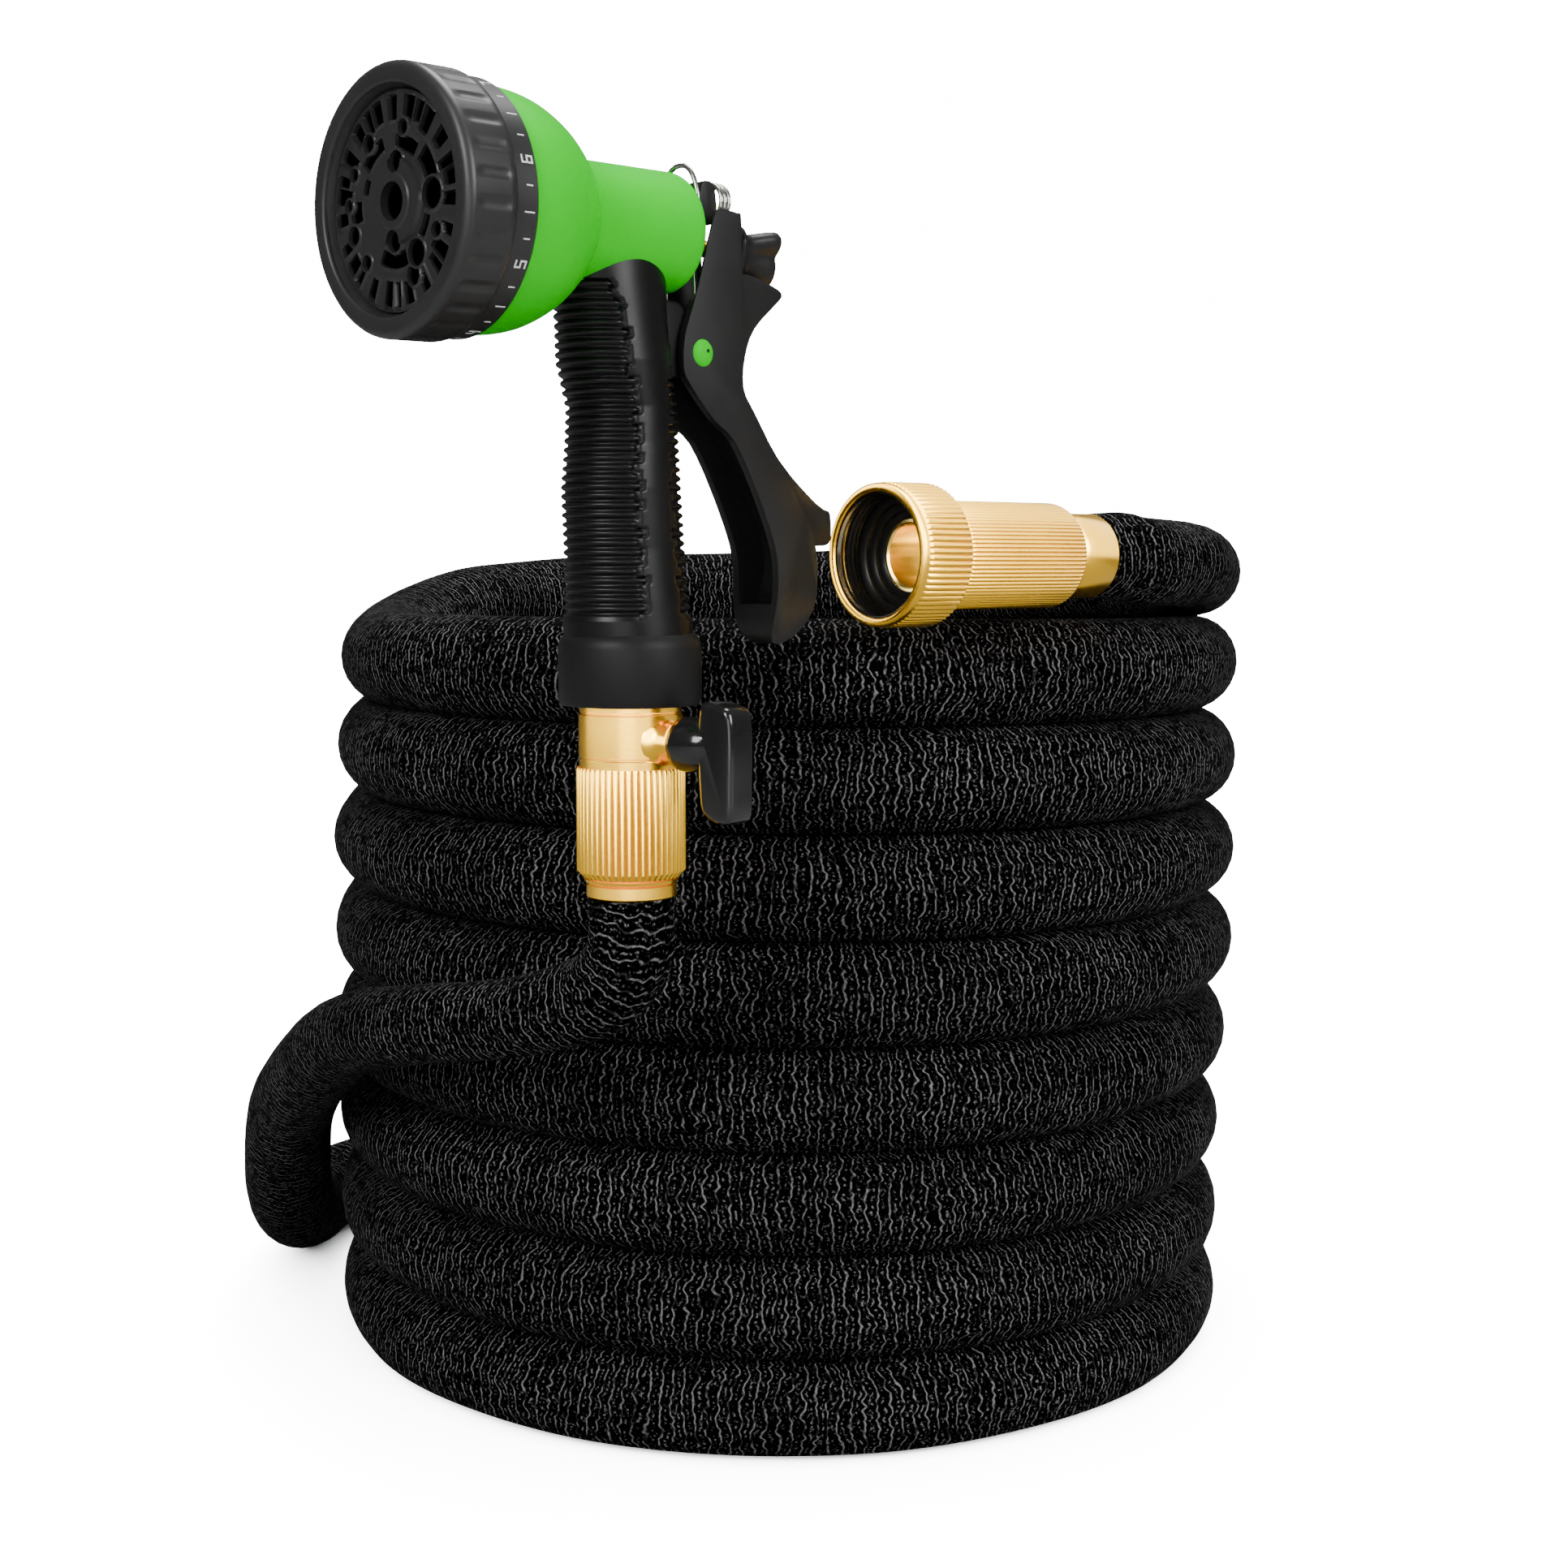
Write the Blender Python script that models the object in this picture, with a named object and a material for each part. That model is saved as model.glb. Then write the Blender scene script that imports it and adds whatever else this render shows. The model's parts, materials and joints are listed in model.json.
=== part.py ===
"""Coiled fabric-sleeved garden hose with a swivel supply connector, a shut-off
valve and a trigger spray nozzle. Metres, +Z up, standing on z = 0."""

import math

import bmesh
import bpy
from mathutils import Matrix, Vector

# Hose and coil
HOSE_DIAMETER = 0.025
COIL_RADIUS = 0.1125
COIL_TURNS = 8
COIL_SEGMENTS = 32
COIL_CENTRE = Vector((0.0172, 0.0363, 0.0))
COIL_SINK = 0.0030
TOUCH_GAP = 0.0003
RUN_GAP = 0.0005
LEAD_COLLAR_RADIUS = 0.0091
LEAD_THIN_RADIUS = 0.0087
LEAD_STEPS = 2
TAIL_START = math.radians(148.6)
TAIL_END = math.radians(78.3)
TAIL_STEPS = 6
TAIL_GAP = 0.0010
TAIL_SWEEP = 0.0150
TOP_TURN_END = math.radians(120)
TOP_TURN_POINTS = 24
TUBE_SIDES = 3
WIRE_SIDES = 2

# Supply swivel, 3/4 inch hose thread
THREAD_RADIUS = 0.0136
NUT_RADIUS = 0.0159
NUT_LENGTH = 0.0152
NUT_LIP = 0.0020
NUT_NECK_RADIUS = 0.0094
NUT_CHAMFER = 0.0008
WASHER_THICKNESS = 0.0026
WASHER_STEP = 0.0012
FLANGE_THICKNESS = 0.0010
INSERT_BORE = 0.0070
STEP_RADIUS = 0.0126
STEP_LENGTH = 0.0019
INSERT_SPIGOT = 0.0065
SUPPLY_SLEEVE_RADIUS = 0.0122
SUPPLY_SLEEVE_LENGTH = 0.0383
SLEEVE_BORE = 0.0091
SLEEVE_CHAMFER = 0.0014
FERRULE_RADIUS = 0.0096
FERRULE_LENGTH = 0.0130
FERRULE_PLUG = 0.0110
FERRULE_BORE = 0.0060
SWIVEL_ANGLE = math.radians(278.4)
SWIVEL_OUT = 0.0229
SWIVEL_RISE = 0.0014
SWIVEL_AZIMUTH = math.radians(50)

# Shut-off valve, standing on the nozzle's own axis
NOZZLE_ANGLE = math.radians(259.3)
NOZZLE_OUT = 0.0564
VALVE_COLLAR_BASE = 0.1411
VALVE_COLLAR_RADIUS = 0.0093
VALVE_SLEEVE_BASE = VALVE_COLLAR_BASE + 0.0042
VALVE_SLEEVE_TOP = VALVE_SLEEVE_BASE + 0.0225
VALVE_SLEEVE_RADIUS = 0.0112
VALVE_BODY_RADIUS = 0.0105
VALVE_BODY_BASE = VALVE_SLEEVE_BASE + 0.0117
MALE_THREAD_RADIUS = THREAD_RADIUS - 0.0004
MALE_THREAD_LENGTH = 0.0085
VALVE_BORE = 0.0055
STEM_HEIGHT = VALVE_SLEEVE_TOP + 0.0054
STEM_AZIMUTH = math.radians(-40)
STEM_RADIUS = 0.0024
STEM_BOSS_RADIUS = 0.0038
STEM_BOSS_FLARE = 0.0006
STEM_BOSS_REACH = 0.0122
LEVER_START = 0.0128
LEVER_BOSS_RADIUS = 0.0046
LEVER_NECK_RADIUS = 0.0034
LEVER_NECK = 0.0160
LEVER_END = 0.0285
LEVER_SEAT = 0.0040
LEVER_THICKNESS = 0.0095
LEVER_ABOVE = 0.0088
LEVER_BELOW = 0.0168
LEVER_ROUND = 0.0011

# Nozzle: x runs to the rear, z up, the head axis lies along x
NOZZLE_AZIMUTH = math.radians(45)
COLLAR_RADIUS = 0.0146
COLLAR_BASE = STEM_HEIGHT + 0.0073
COLLAR_TOP = COLLAR_BASE + 0.0129
COLLAR_LIP = 0.0015
COLLAR_CHAMFER = 0.0012
HEAD_HEIGHT = COLLAR_TOP + 0.0819
HEAD_TILT = math.radians(1)
GRIP_TOP = HEAD_HEIGHT - 0.0056
GRIP_SIDES = 24
BARREL_RADIUS = 0.0122
BARREL_REAR = 0.0120
BARREL_ROUND = 0.0035
BELL_RADIUS = 0.0226
BELL_FRONT = 0.0405
BELL_LIP = 0.0003
BELL_WALL = 0.0022
BELL_MOUTH_DEPTH = 0.0060
DIAL_FRONT = BELL_FRONT + 0.0168
DIAL_RADIUS = 0.0246
DIAL_RING_LENGTH = 0.0113
DIAL_EDGE = 0.0011
BAND_RADIUS = 0.0238
FACE_RADIUS = 0.0199
FACE_RECESS = 0.0022
FACE_THICKNESS = 0.0030
FACE_RAISED = 0.0008
SPRAY_BORE = 0.0028
FACE_CENTRE_RADIUS = 0.0086
DIAL_HUB_RADIUS = 0.0060
LUG_HALF_WIDTH = 0.0047

# Trigger, its pin, the pull rod and the lock bail
PIVOT = Vector((0.0141, 0.0, COLLAR_TOP + 0.0582))
TRIGGER_HALF_WIDTH = 0.0070
TRIGGER_WALL = 0.0018
WEB_THICKNESS = 0.0022
SPUR_HALF_WIDTH = 0.0045
PIN_RADIUS = 0.0016
PIN_HEAD_RADIUS = 0.00265
PIN_HEAD_HEIGHT = 0.0010
ROD_HEIGHT = HEAD_HEIGHT - 0.0016
ROD_RADIUS = 0.0013
ROD_SOCKET = 0.0088
KNOB_START = 0.0272
KNOB_END = 0.0386
KNOB_SEAT = 0.0040
KNOB_RADIUS = 0.0052
KNOB_WAIST_RADIUS = 0.0038
KNOB_CHAMFER = 0.0009
KNOB_FLANGE_RADIUS = 0.0060
KNOB_FLANGE_LENGTH = 0.0014
BAIL_PIVOT = PIVOT + Vector((0.0005, 0.0, 0.0089))
BAIL_FOOT = 0.0082
BAIL_HALF_WIDTH = 0.0123
BAIL_HEIGHT = 0.0291
BAIL_LEAN = 0.0006
BAIL_ARCH_STEPS = 10
WIRE_RADIUS = 0.00065
SPRING_CENTRE = PIVOT + Vector((0.0081, 0.0, 0.0312))
SPRING_RADIUS = 0.0032
SPRING_PITCH = 0.0013
SPRING_TURNS = 2
SPRING_STEPS = 14

GREEN = (0.075, 0.55, 0.06)
BLACK = (0.02, 0.02, 0.021)
GRIP_BLACK = (0.018, 0.018, 0.019)
BRASS = (0.83, 0.57, 0.24)
FABRIC_BLACK = (0.006, 0.006, 0.0065)
STEEL = (0.6, 0.6, 0.6)


def material(name, colour, roughness, metallic=0.0):
    """A Principled material, made once for each name."""
    found = bpy.data.materials.get(name)
    if found:
        return found
    made = bpy.data.materials.new(name)
    made.use_nodes = True
    shader = made.node_tree.nodes["Principled BSDF"]
    shader.inputs["Base Color"].default_value = (*colour, 1.0)
    shader.inputs["Roughness"].default_value = roughness
    shader.inputs["Metallic"].default_value = metallic
    return made


def add_object(name, data, surface, parent=None):
    """Link an object under its parent empty and give it its material."""
    made = bpy.data.objects.new(name, data)
    bpy.context.scene.collection.objects.link(made)
    made.parent = parent
    if surface:
        data.materials.append(surface)
    return made


def empty(name, matrix, parent=None):
    """A placed empty that carries a group of pieces."""
    made = bpy.data.objects.new(name, None)
    bpy.context.scene.collection.objects.link(made)
    made.parent = parent
    made.matrix_local = matrix
    return made


def finish_mesh(name, bm, surface, parent, sharp=math.radians(35)):
    """Turn a bmesh into a smooth-shaded object with clean outward normals."""
    bmesh.ops.remove_doubles(bm, verts=bm.verts[:], dist=1e-6)
    bmesh.ops.recalc_face_normals(bm, faces=bm.faces[:])
    mesh = bpy.data.meshes.new(name)
    bm.to_mesh(mesh)
    bm.free()
    mesh.shade_smooth()
    mesh.set_sharp_from_angle(angle=sharp)
    return add_object(name, mesh, surface, parent)


def lathe(name, profile, surface, parent, segments=28):
    """Turn a list of (radius, height) points about Z. A profile that starts and
    ends on the axis stays open there, and any other profile is closed."""
    bm = bmesh.new()
    verts = [bm.verts.new((radius, 0.0, height)) for radius, height in profile]
    edges = [bm.edges.new(pair) for pair in zip(verts, verts[1:])]
    if profile[0][0] > 0.0:
        edges.append(bm.edges.new((verts[-1], verts[0])))
    bmesh.ops.spin(bm, geom=verts + edges, cent=(0, 0, 0), axis=(0, 0, 1),
                   angle=math.tau, steps=segments, use_merge=True)
    return finish_mesh(name, bm, surface, parent)


def plate(name, outline, half_width, surface, parent):
    """Extrude an (x, z) outline to both sides of y = 0."""
    bm = bmesh.new()
    verts = [bm.verts.new((x, -half_width, z)) for x, z in outline]
    face = bm.faces.new(verts)
    grown = bmesh.ops.extrude_face_region(bm, geom=[face])
    moved = [item for item in grown["geom"] if isinstance(item, bmesh.types.BMVert)]
    bmesh.ops.translate(bm, verts=moved, vec=(0.0, 2 * half_width, 0.0))
    return finish_mesh(name, bm, surface, parent)


def loft(name, rings, surface, parent):
    """Skin closed rings of equal length and cap both ends."""
    bm = bmesh.new()
    rows = [[bm.verts.new(point) for point in ring] for ring in rings]
    count = len(rings[0])
    for lower, upper in zip(rows, rows[1:]):
        for i in range(count):
            j = (i + 1) % count
            bm.faces.new((lower[i], lower[j], upper[j], upper[i]))
    bm.faces.new(rows[0])
    bm.faces.new(rows[-1])
    return finish_mesh(name, bm, surface, parent)


def tube(name, points, radii, surface, parent, resolution=TUBE_SIDES):
    """A curve with a round bevel and filled caps, through the given points."""
    curve = bpy.data.curves.new(name, "CURVE")
    curve.dimensions = "3D"
    curve.bevel_depth = max(radii)
    curve.bevel_resolution = resolution
    curve.use_fill_caps = True
    spline = curve.splines.new("POLY")
    spline.points.add(len(points) - 1)
    for place, point, radius in zip(spline.points, points, radii):
        place.co = (*point, 1.0)
        place.radius = radius / curve.bevel_depth
    return add_object(name, curve, surface, parent)


def combine(target, tool, operation):
    """Add an exact Boolean of the target with a hidden tool object."""
    tool.hide_render = True
    tool.display_type = "WIRE"
    modifier = target.modifiers.new(tool.name, "BOOLEAN")
    modifier.operation = operation
    modifier.solver = "EXACT"
    modifier.object = tool
    return modifier


def rounded(target, width, segments=2, limit=math.radians(35)):
    """Round the edges that are sharper than the limit."""
    modifier = target.modifiers.new("rounding", "BEVEL")
    modifier.width = width
    modifier.segments = segments
    modifier.limit_method = "ANGLE"
    modifier.angle_limit = limit
    modifier.use_clamp_overlap = True
    return modifier


def catmull_rom(controls, steps):
    """Points of a smooth curve through the control points, with values of any
    length, and the given number of steps between two controls."""
    ends = [2 * controls[0] - controls[1]] + controls + [2 * controls[-1] - controls[-2]]
    points = []
    for before, start, stop, after in zip(ends, ends[1:], ends[2:], ends[3:]):
        for step in range(steps):
            t = step / steps
            points.append(0.5 * (2 * start + (stop - before) * t
                                 + (2 * before - 5 * start + 4 * stop - after) * t ** 2
                                 + (3 * start - before - 3 * stop + after) * t ** 3))
    points.append(controls[-1])
    return points


def along_x(height, tilt=0.0):
    """Stand a turned piece's Z axis along the nozzle's forward direction, with
    its front end tilted down."""
    return Matrix.Translation((0.0, 0.0, height)) @ Matrix.Rotation(-math.pi / 2 - tilt, 4, "Y")


def turn_height(turn):
    """The height of a turn's centreline, counted from the floor. The stack's
    weight squashes the lowest turn against the floor, so all of them sink."""
    return HOSE_DIAMETER * (turn + 0.5) - COIL_SINK


def hose_coil(surface, root):
    """The stacked turns as one turned ring, scalloped outside and inside."""
    sides = 8
    flat = math.tau / sides
    reach = HOSE_DIAMETER / 2 / math.cos(flat / 2)

    def scallop(turn, first_angle):
        height = turn_height(turn)
        angles = [first_angle - flat * k for k in range(sides // 2)]
        return [(COIL_RADIUS + reach * math.cos(a), max(0.0, height + reach * math.sin(a)))
                for a in angles]

    outside = [p for turn in reversed(range(COIL_TURNS)) for p in scallop(turn, 1.5 * flat)]
    inside = [p for turn in range(COIL_TURNS) for p in scallop(turn, -2.5 * flat)]
    return lathe("hose_coil", merged(outside + inside), surface, root, COIL_SEGMENTS)


def merged(profile):
    """Drop points that repeat the one before them."""
    kept = [profile[0]]
    for point in profile[1:]:
        if math.dist(point, kept[-1]) > 1e-6:
            kept.append(point)
    return kept


def top_turn_points():
    """The part turn that lies on the coil, from the supply ferrule backwards. It
    leaves the ferrule straight and settles onto the coil within a quarter turn."""
    end = supply_ferrule_end() + TOUCH_GAP
    leave = supply_matrix() @ Vector((0.0, 0.0, -end))
    start = supply_matrix() @ Vector((0.0, 0.0, -end - HOSE_DIAMETER / 3))
    start_angle = math.atan2(start.y, start.x)
    start_radius = math.hypot(start.x, start.y)
    rest_height = turn_height(COIL_TURNS) + TOUCH_GAP
    points = [(leave, FERRULE_RADIUS)]
    for i in range(TOP_TURN_POINTS + 1):
        share = i / TOP_TURN_POINTS
        angle = start_angle + share * (TOP_TURN_END - start_angle)
        settle = min(1.0, 4.0 * share)
        settle = settle * settle * (3 - 2 * settle)
        radius = start_radius + settle * (COIL_RADIUS - start_radius)
        height = start.z + settle * (rest_height - start.z)
        grown = FERRULE_RADIUS + settle * (HOSE_DIAMETER / 2 - FERRULE_RADIUS)
        points.append((Vector((radius * math.cos(angle), radius * math.sin(angle), height)), grown))
    return points


def around_coil(angle, out, height):
    """A point beside the coil: its angle, how far outside the turns' centreline
    it lies, and its height."""
    reach = COIL_RADIUS + out
    return Vector((reach * math.cos(angle), reach * math.sin(angle), height))


LEAD_ROUTE = (
    # degrees round the coil, out from the turns' centreline, share of the valve
    # collar's height, hose radius
    (259.3, 0.0564, 0.972, LEAD_COLLAR_RADIUS),
    (259.3, 0.0562, 0.937, LEAD_COLLAR_RADIUS),
    (258.4, 0.0545, 0.887, LEAD_COLLAR_RADIUS),
    (255.6, 0.0511, 0.838, LEAD_COLLAR_RADIUS),
    (247.8, 0.0442, 0.786, LEAD_THIN_RADIUS),
    (236.2, 0.0367, 0.743, 0.0091),
    (219.6, 0.0271, 0.665, 0.0102),
    (197.4, 0.0244, 0.501, 0.0113),
    (184.9, 0.0276, 0.395, 0.0119),
    (174.5, 0.0330, 0.279, 0.0123),
    (165.5, 0.0393, 0.167, HOSE_DIAMETER / 2),
    (157.2, 0.0426, 0.104, HOSE_DIAMETER / 2),
)


def hose_lead_points():
    """The loose lead's route, from the valve collar down round the coil's side
    and along the floor to where it joins the lowest turn at the back."""
    controls = [Vector((*around_coil(math.radians(angle), out, share * VALVE_COLLAR_BASE), radius))
                for angle, out, share, radius in LEAD_ROUTE]
    floor_height = HOSE_DIAMETER / 2 + TOUCH_GAP
    for step in range(TAIL_STEPS):
        share = step / (TAIL_STEPS - 1)
        angle = TAIL_START + share * (TAIL_END - TAIL_START)
        out = HOSE_DIAMETER + TAIL_GAP + TAIL_SWEEP * (1 - min(1.0, share / 0.7)) ** 2
        controls.append(Vector((*around_coil(angle, out, floor_height), HOSE_DIAMETER / 2)))
    collar = nozzle_foot() + Vector((0.0, 0.0, VALVE_COLLAR_BASE - TOUCH_GAP))
    smooth = [(Vector(p[:3]), p[3]) for p in catmull_rom(controls, LEAD_STEPS)]
    return [(collar, LEAD_COLLAR_RADIUS)] + smooth


def nozzle_foot():
    """Where the upright nozzle's axis meets the floor."""
    return around_coil(NOZZLE_ANGLE, NOZZLE_OUT, 0.0)


def swivel_face():
    """The middle of the supply nut's mouth, level with the hose on top."""
    return around_coil(SWIVEL_ANGLE, SWIVEL_OUT, turn_height(COIL_TURNS) + SWIVEL_RISE)


def supply_matrix():
    """The swivel's frame: Z points out of the nut's mouth."""
    turn = Matrix.Rotation(-math.pi / 2 - SWIVEL_AZIMUTH, 4, "Z")
    return Matrix.Translation(swivel_face()) @ turn @ Matrix.Rotation(math.pi / 2, 4, "Y")


def supply_back():
    """How far behind the nut's face the fluted sleeve starts."""
    return NUT_LENGTH + RUN_GAP + STEP_LENGTH + TOUCH_GAP


def supply_ferrule_end():
    """How far behind the nut's face the hose starts."""
    return supply_back() + SUPPLY_SLEEVE_LENGTH + TOUCH_GAP + FERRULE_LENGTH


def supply_connector(root, brass, rubber):
    """Nut, washer, insert, fluted sleeve and ferrule, from the mouth back."""
    holder = empty("supply_axis", supply_matrix(), root)
    chamfer = NUT_CHAMFER
    lip_face = -(NUT_LENGTH - NUT_LIP)
    lathe("supply_nut", [
        (THREAD_RADIUS, 0.0),
        (NUT_RADIUS - chamfer, 0.0),
        (NUT_RADIUS, -chamfer),
        (NUT_RADIUS, -NUT_LENGTH + chamfer),
        (NUT_RADIUS - chamfer, -NUT_LENGTH),
        (NUT_NECK_RADIUS, -NUT_LENGTH),
        (NUT_NECK_RADIUS, lip_face),
        (THREAD_RADIUS, lip_face),
    ], brass, holder, 32)
    flange_back = lip_face + TOUCH_GAP
    flange_front = flange_back + FLANGE_THICKNESS
    flange_radius = THREAD_RADIUS - RUN_GAP
    washer_back = flange_front + TOUCH_GAP
    washer_bore = INSERT_BORE + WASHER_STEP
    lathe("supply_washer", [
        (washer_bore, washer_back + WASHER_THICKNESS),
        (flange_radius, washer_back + WASHER_THICKNESS),
        (flange_radius, washer_back),
        (washer_bore, washer_back),
    ], rubber, holder, 24)
    neck = NUT_NECK_RADIUS - TOUCH_GAP
    step_front = -NUT_LENGTH - RUN_GAP
    step_back = step_front - STEP_LENGTH
    spigot = SLEEVE_BORE - TOUCH_GAP
    lathe("supply_insert", [
        (INSERT_BORE, flange_front),
        (flange_radius, flange_front),
        (flange_radius, flange_back),
        (neck, flange_back),
        (neck, step_front),
        (STEP_RADIUS, step_front),
        (STEP_RADIUS, step_back),
        (spigot, step_back),
        (spigot, step_back - INSERT_SPIGOT),
        (INSERT_BORE, step_back - INSERT_SPIGOT),
    ], brass, holder, 28)
    sleeve_front = -supply_back()
    sleeve_back = sleeve_front - SUPPLY_SLEEVE_LENGTH
    fluted_sleeve("supply_sleeve", SUPPLY_SLEEVE_RADIUS, sleeve_front, sleeve_back,
                  SLEEVE_BORE, brass, holder)
    ferrule_front = sleeve_back - TOUCH_GAP
    ferrule_back = ferrule_front - FERRULE_LENGTH
    lathe("supply_ferrule", [
        (FERRULE_BORE, sleeve_back + FERRULE_PLUG),
        (spigot, sleeve_back + FERRULE_PLUG),
        (spigot, ferrule_front),
        (FERRULE_RADIUS, ferrule_front),
        (FERRULE_RADIUS, ferrule_back),
        (FERRULE_BORE, ferrule_back),
    ], brass, holder, 28)


def fluted_sleeve(name, radius, top, bottom, bore, surface, parent):
    """A plain sleeve with chamfered ends; its flutes are fine relief."""
    chamfer = SLEEVE_CHAMFER
    return lathe(name, [
        (bore, top),
        (radius - chamfer / 2, top),
        (radius, top - chamfer / 2),
        (radius, bottom + chamfer),
        (radius - chamfer, bottom),
        (bore, bottom),
    ], surface, parent, 28)


def stem_matrix():
    """The valve stem's frame: Z points outwards along the stem."""
    turn = Matrix.Rotation(STEM_AZIMUTH - NOZZLE_AZIMUTH, 4, "Z")
    return Matrix.Translation((0.0, 0.0, STEM_HEIGHT)) @ turn @ Matrix.Rotation(math.pi / 2, 4, "Y")


def shut_off_valve(axis, brass, lever_black):
    """Hose ferrule, fluted sleeve, ball valve body, stem and lever."""
    collar_top = VALVE_SLEEVE_BASE - TOUCH_GAP
    plug = SLEEVE_BORE - TOUCH_GAP
    lathe("valve_ferrule", [
        (FERRULE_BORE, VALVE_COLLAR_BASE),
        (VALVE_COLLAR_RADIUS, VALVE_COLLAR_BASE),
        (VALVE_COLLAR_RADIUS, collar_top),
        (plug, collar_top),
        (plug, VALVE_BODY_BASE - TOUCH_GAP),
        (FERRULE_BORE, VALVE_BODY_BASE - TOUCH_GAP),
    ], brass, axis)
    chamfer = SLEEVE_CHAMFER
    body_bore = VALVE_BODY_RADIUS + TOUCH_GAP
    seat = VALVE_BODY_BASE - TOUCH_GAP
    lathe("valve_sleeve", [
        (SLEEVE_BORE, VALVE_SLEEVE_BASE),
        (VALVE_SLEEVE_RADIUS - chamfer, VALVE_SLEEVE_BASE),
        (VALVE_SLEEVE_RADIUS, VALVE_SLEEVE_BASE + chamfer),
        (VALVE_SLEEVE_RADIUS, VALVE_SLEEVE_TOP),
        (body_bore, VALVE_SLEEVE_TOP),
        (body_bore, seat),
        (SLEEVE_BORE, seat),
    ], brass, axis)
    thread_base = COLLAR_BASE - RUN_GAP
    thread_top = COLLAR_BASE + MALE_THREAD_LENGTH
    body = lathe("valve_body", [
        (VALVE_BORE, VALVE_BODY_BASE),
        (VALVE_BODY_RADIUS, VALVE_BODY_BASE),
        (VALVE_BODY_RADIUS, thread_base),
        (MALE_THREAD_RADIUS, COLLAR_BASE + RUN_GAP),
        (MALE_THREAD_RADIUS, thread_top),
        (VALVE_BORE, thread_top),
    ], brass, axis)
    stem_frame = empty("valve_stem_axis", stem_matrix(), axis)
    boss_root = (VALVE_BORE + VALVE_BODY_RADIUS) / 2
    boss = lathe("valve_boss", [
        (0.0, boss_root),
        (STEM_BOSS_RADIUS + 2 * STEM_BOSS_FLARE, boss_root),
        (STEM_BOSS_RADIUS + STEM_BOSS_FLARE, VALVE_BODY_RADIUS),
        (STEM_BOSS_RADIUS, STEM_BOSS_REACH),
        (0.0, STEM_BOSS_REACH),
    ], None, stem_frame, 24)
    combine(body, boss, "UNION")
    stem_hole = lathe("valve_stem_hole", [
        (0.0, 0.0),
        (STEM_RADIUS + TOUCH_GAP, 0.0),
        (STEM_RADIUS + TOUCH_GAP, LEVER_END),
        (0.0, LEVER_END),
    ], None, stem_frame, 20)
    combine(body, stem_hole, "DIFFERENCE")
    lathe("valve_stem", [
        (0.0, VALVE_BORE + RUN_GAP),
        (STEM_RADIUS, VALVE_BORE + RUN_GAP),
        (STEM_RADIUS, LEVER_NECK + LEVER_SEAT),
        (0.0, LEVER_NECK + LEVER_SEAT),
    ], brass, stem_frame, 20)
    valve_lever(stem_frame, lever_black)


def valve_lever(stem_frame, surface):
    """A round boss on the stem that runs into a thick flat paddle. In the stem's
    frame X points down, so the long end of the paddle lies towards +X."""
    half = LEVER_THICKNESS / 2
    lever = lathe("valve_lever", [
        (0.0, LEVER_START),
        (LEVER_BOSS_RADIUS, LEVER_START),
        (LEVER_BOSS_RADIUS, LEVER_START + 0.0012),
        (LEVER_NECK_RADIUS, LEVER_NECK),
        (LEVER_NECK_RADIUS, LEVER_NECK + half),
        (0.0, LEVER_NECK + half),
    ], surface, stem_frame, 28)
    top = -LEVER_ABOVE
    low = LEVER_BELOW
    inner = LEVER_NECK - 0.0005
    outline = [
        (top, inner + 0.004),
        (top + 0.0008, LEVER_END - 0.0032),
        (top + 0.0040, LEVER_END),
        (low - 0.0015, LEVER_END),
        (low, LEVER_END - 0.0030),
        (low - 0.0042, inner),
        (top + 0.0030, inner),
    ]
    paddle = plate("valve_lever_paddle", outline, half, None, stem_frame)
    rounded(paddle, LEVER_ROUND)
    combine(lever, paddle, "UNION")
    bore = lathe("valve_lever_bore", [
        (0.0, 0.0),
        (STEM_RADIUS + TOUCH_GAP, 0.0),
        (STEM_RADIUS + TOUCH_GAP, LEVER_NECK + LEVER_SEAT + TOUCH_GAP),
        (0.0, LEVER_NECK + LEVER_SEAT + TOUCH_GAP),
    ], None, stem_frame, 20)
    combine(lever, bore, "DIFFERENCE")


def bell_profile(clearance=0.0):
    """The green bell from the barrel forwards, as (radius, forward) points."""
    flare = [(0.0008, 0.0175), (0.0018, 0.0190), (0.0042, 0.0215), (0.0068, 0.0250),
             (0.0090, 0.0300), (0.0102, 0.0350)]
    swell = (BELL_RADIUS - BARREL_RADIUS) / flare[-1][0]
    outer = [(BARREL_RADIUS + clearance + out * swell, forward) for out, forward in flare]
    return outer + [(BELL_RADIUS + clearance + BELL_LIP, BELL_FRONT)]


def barrel_rear():
    """The barrel's rounded rear edge, from its flat end to its side."""
    core = BARREL_RADIUS - BARREL_ROUND
    front = BARREL_ROUND - BARREL_REAR
    angles = [math.radians(degrees) for degrees in (0, 30, 60, 90)]
    return [(core + BARREL_ROUND * math.sin(a), front - BARREL_ROUND * math.cos(a)) for a in angles]


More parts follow.
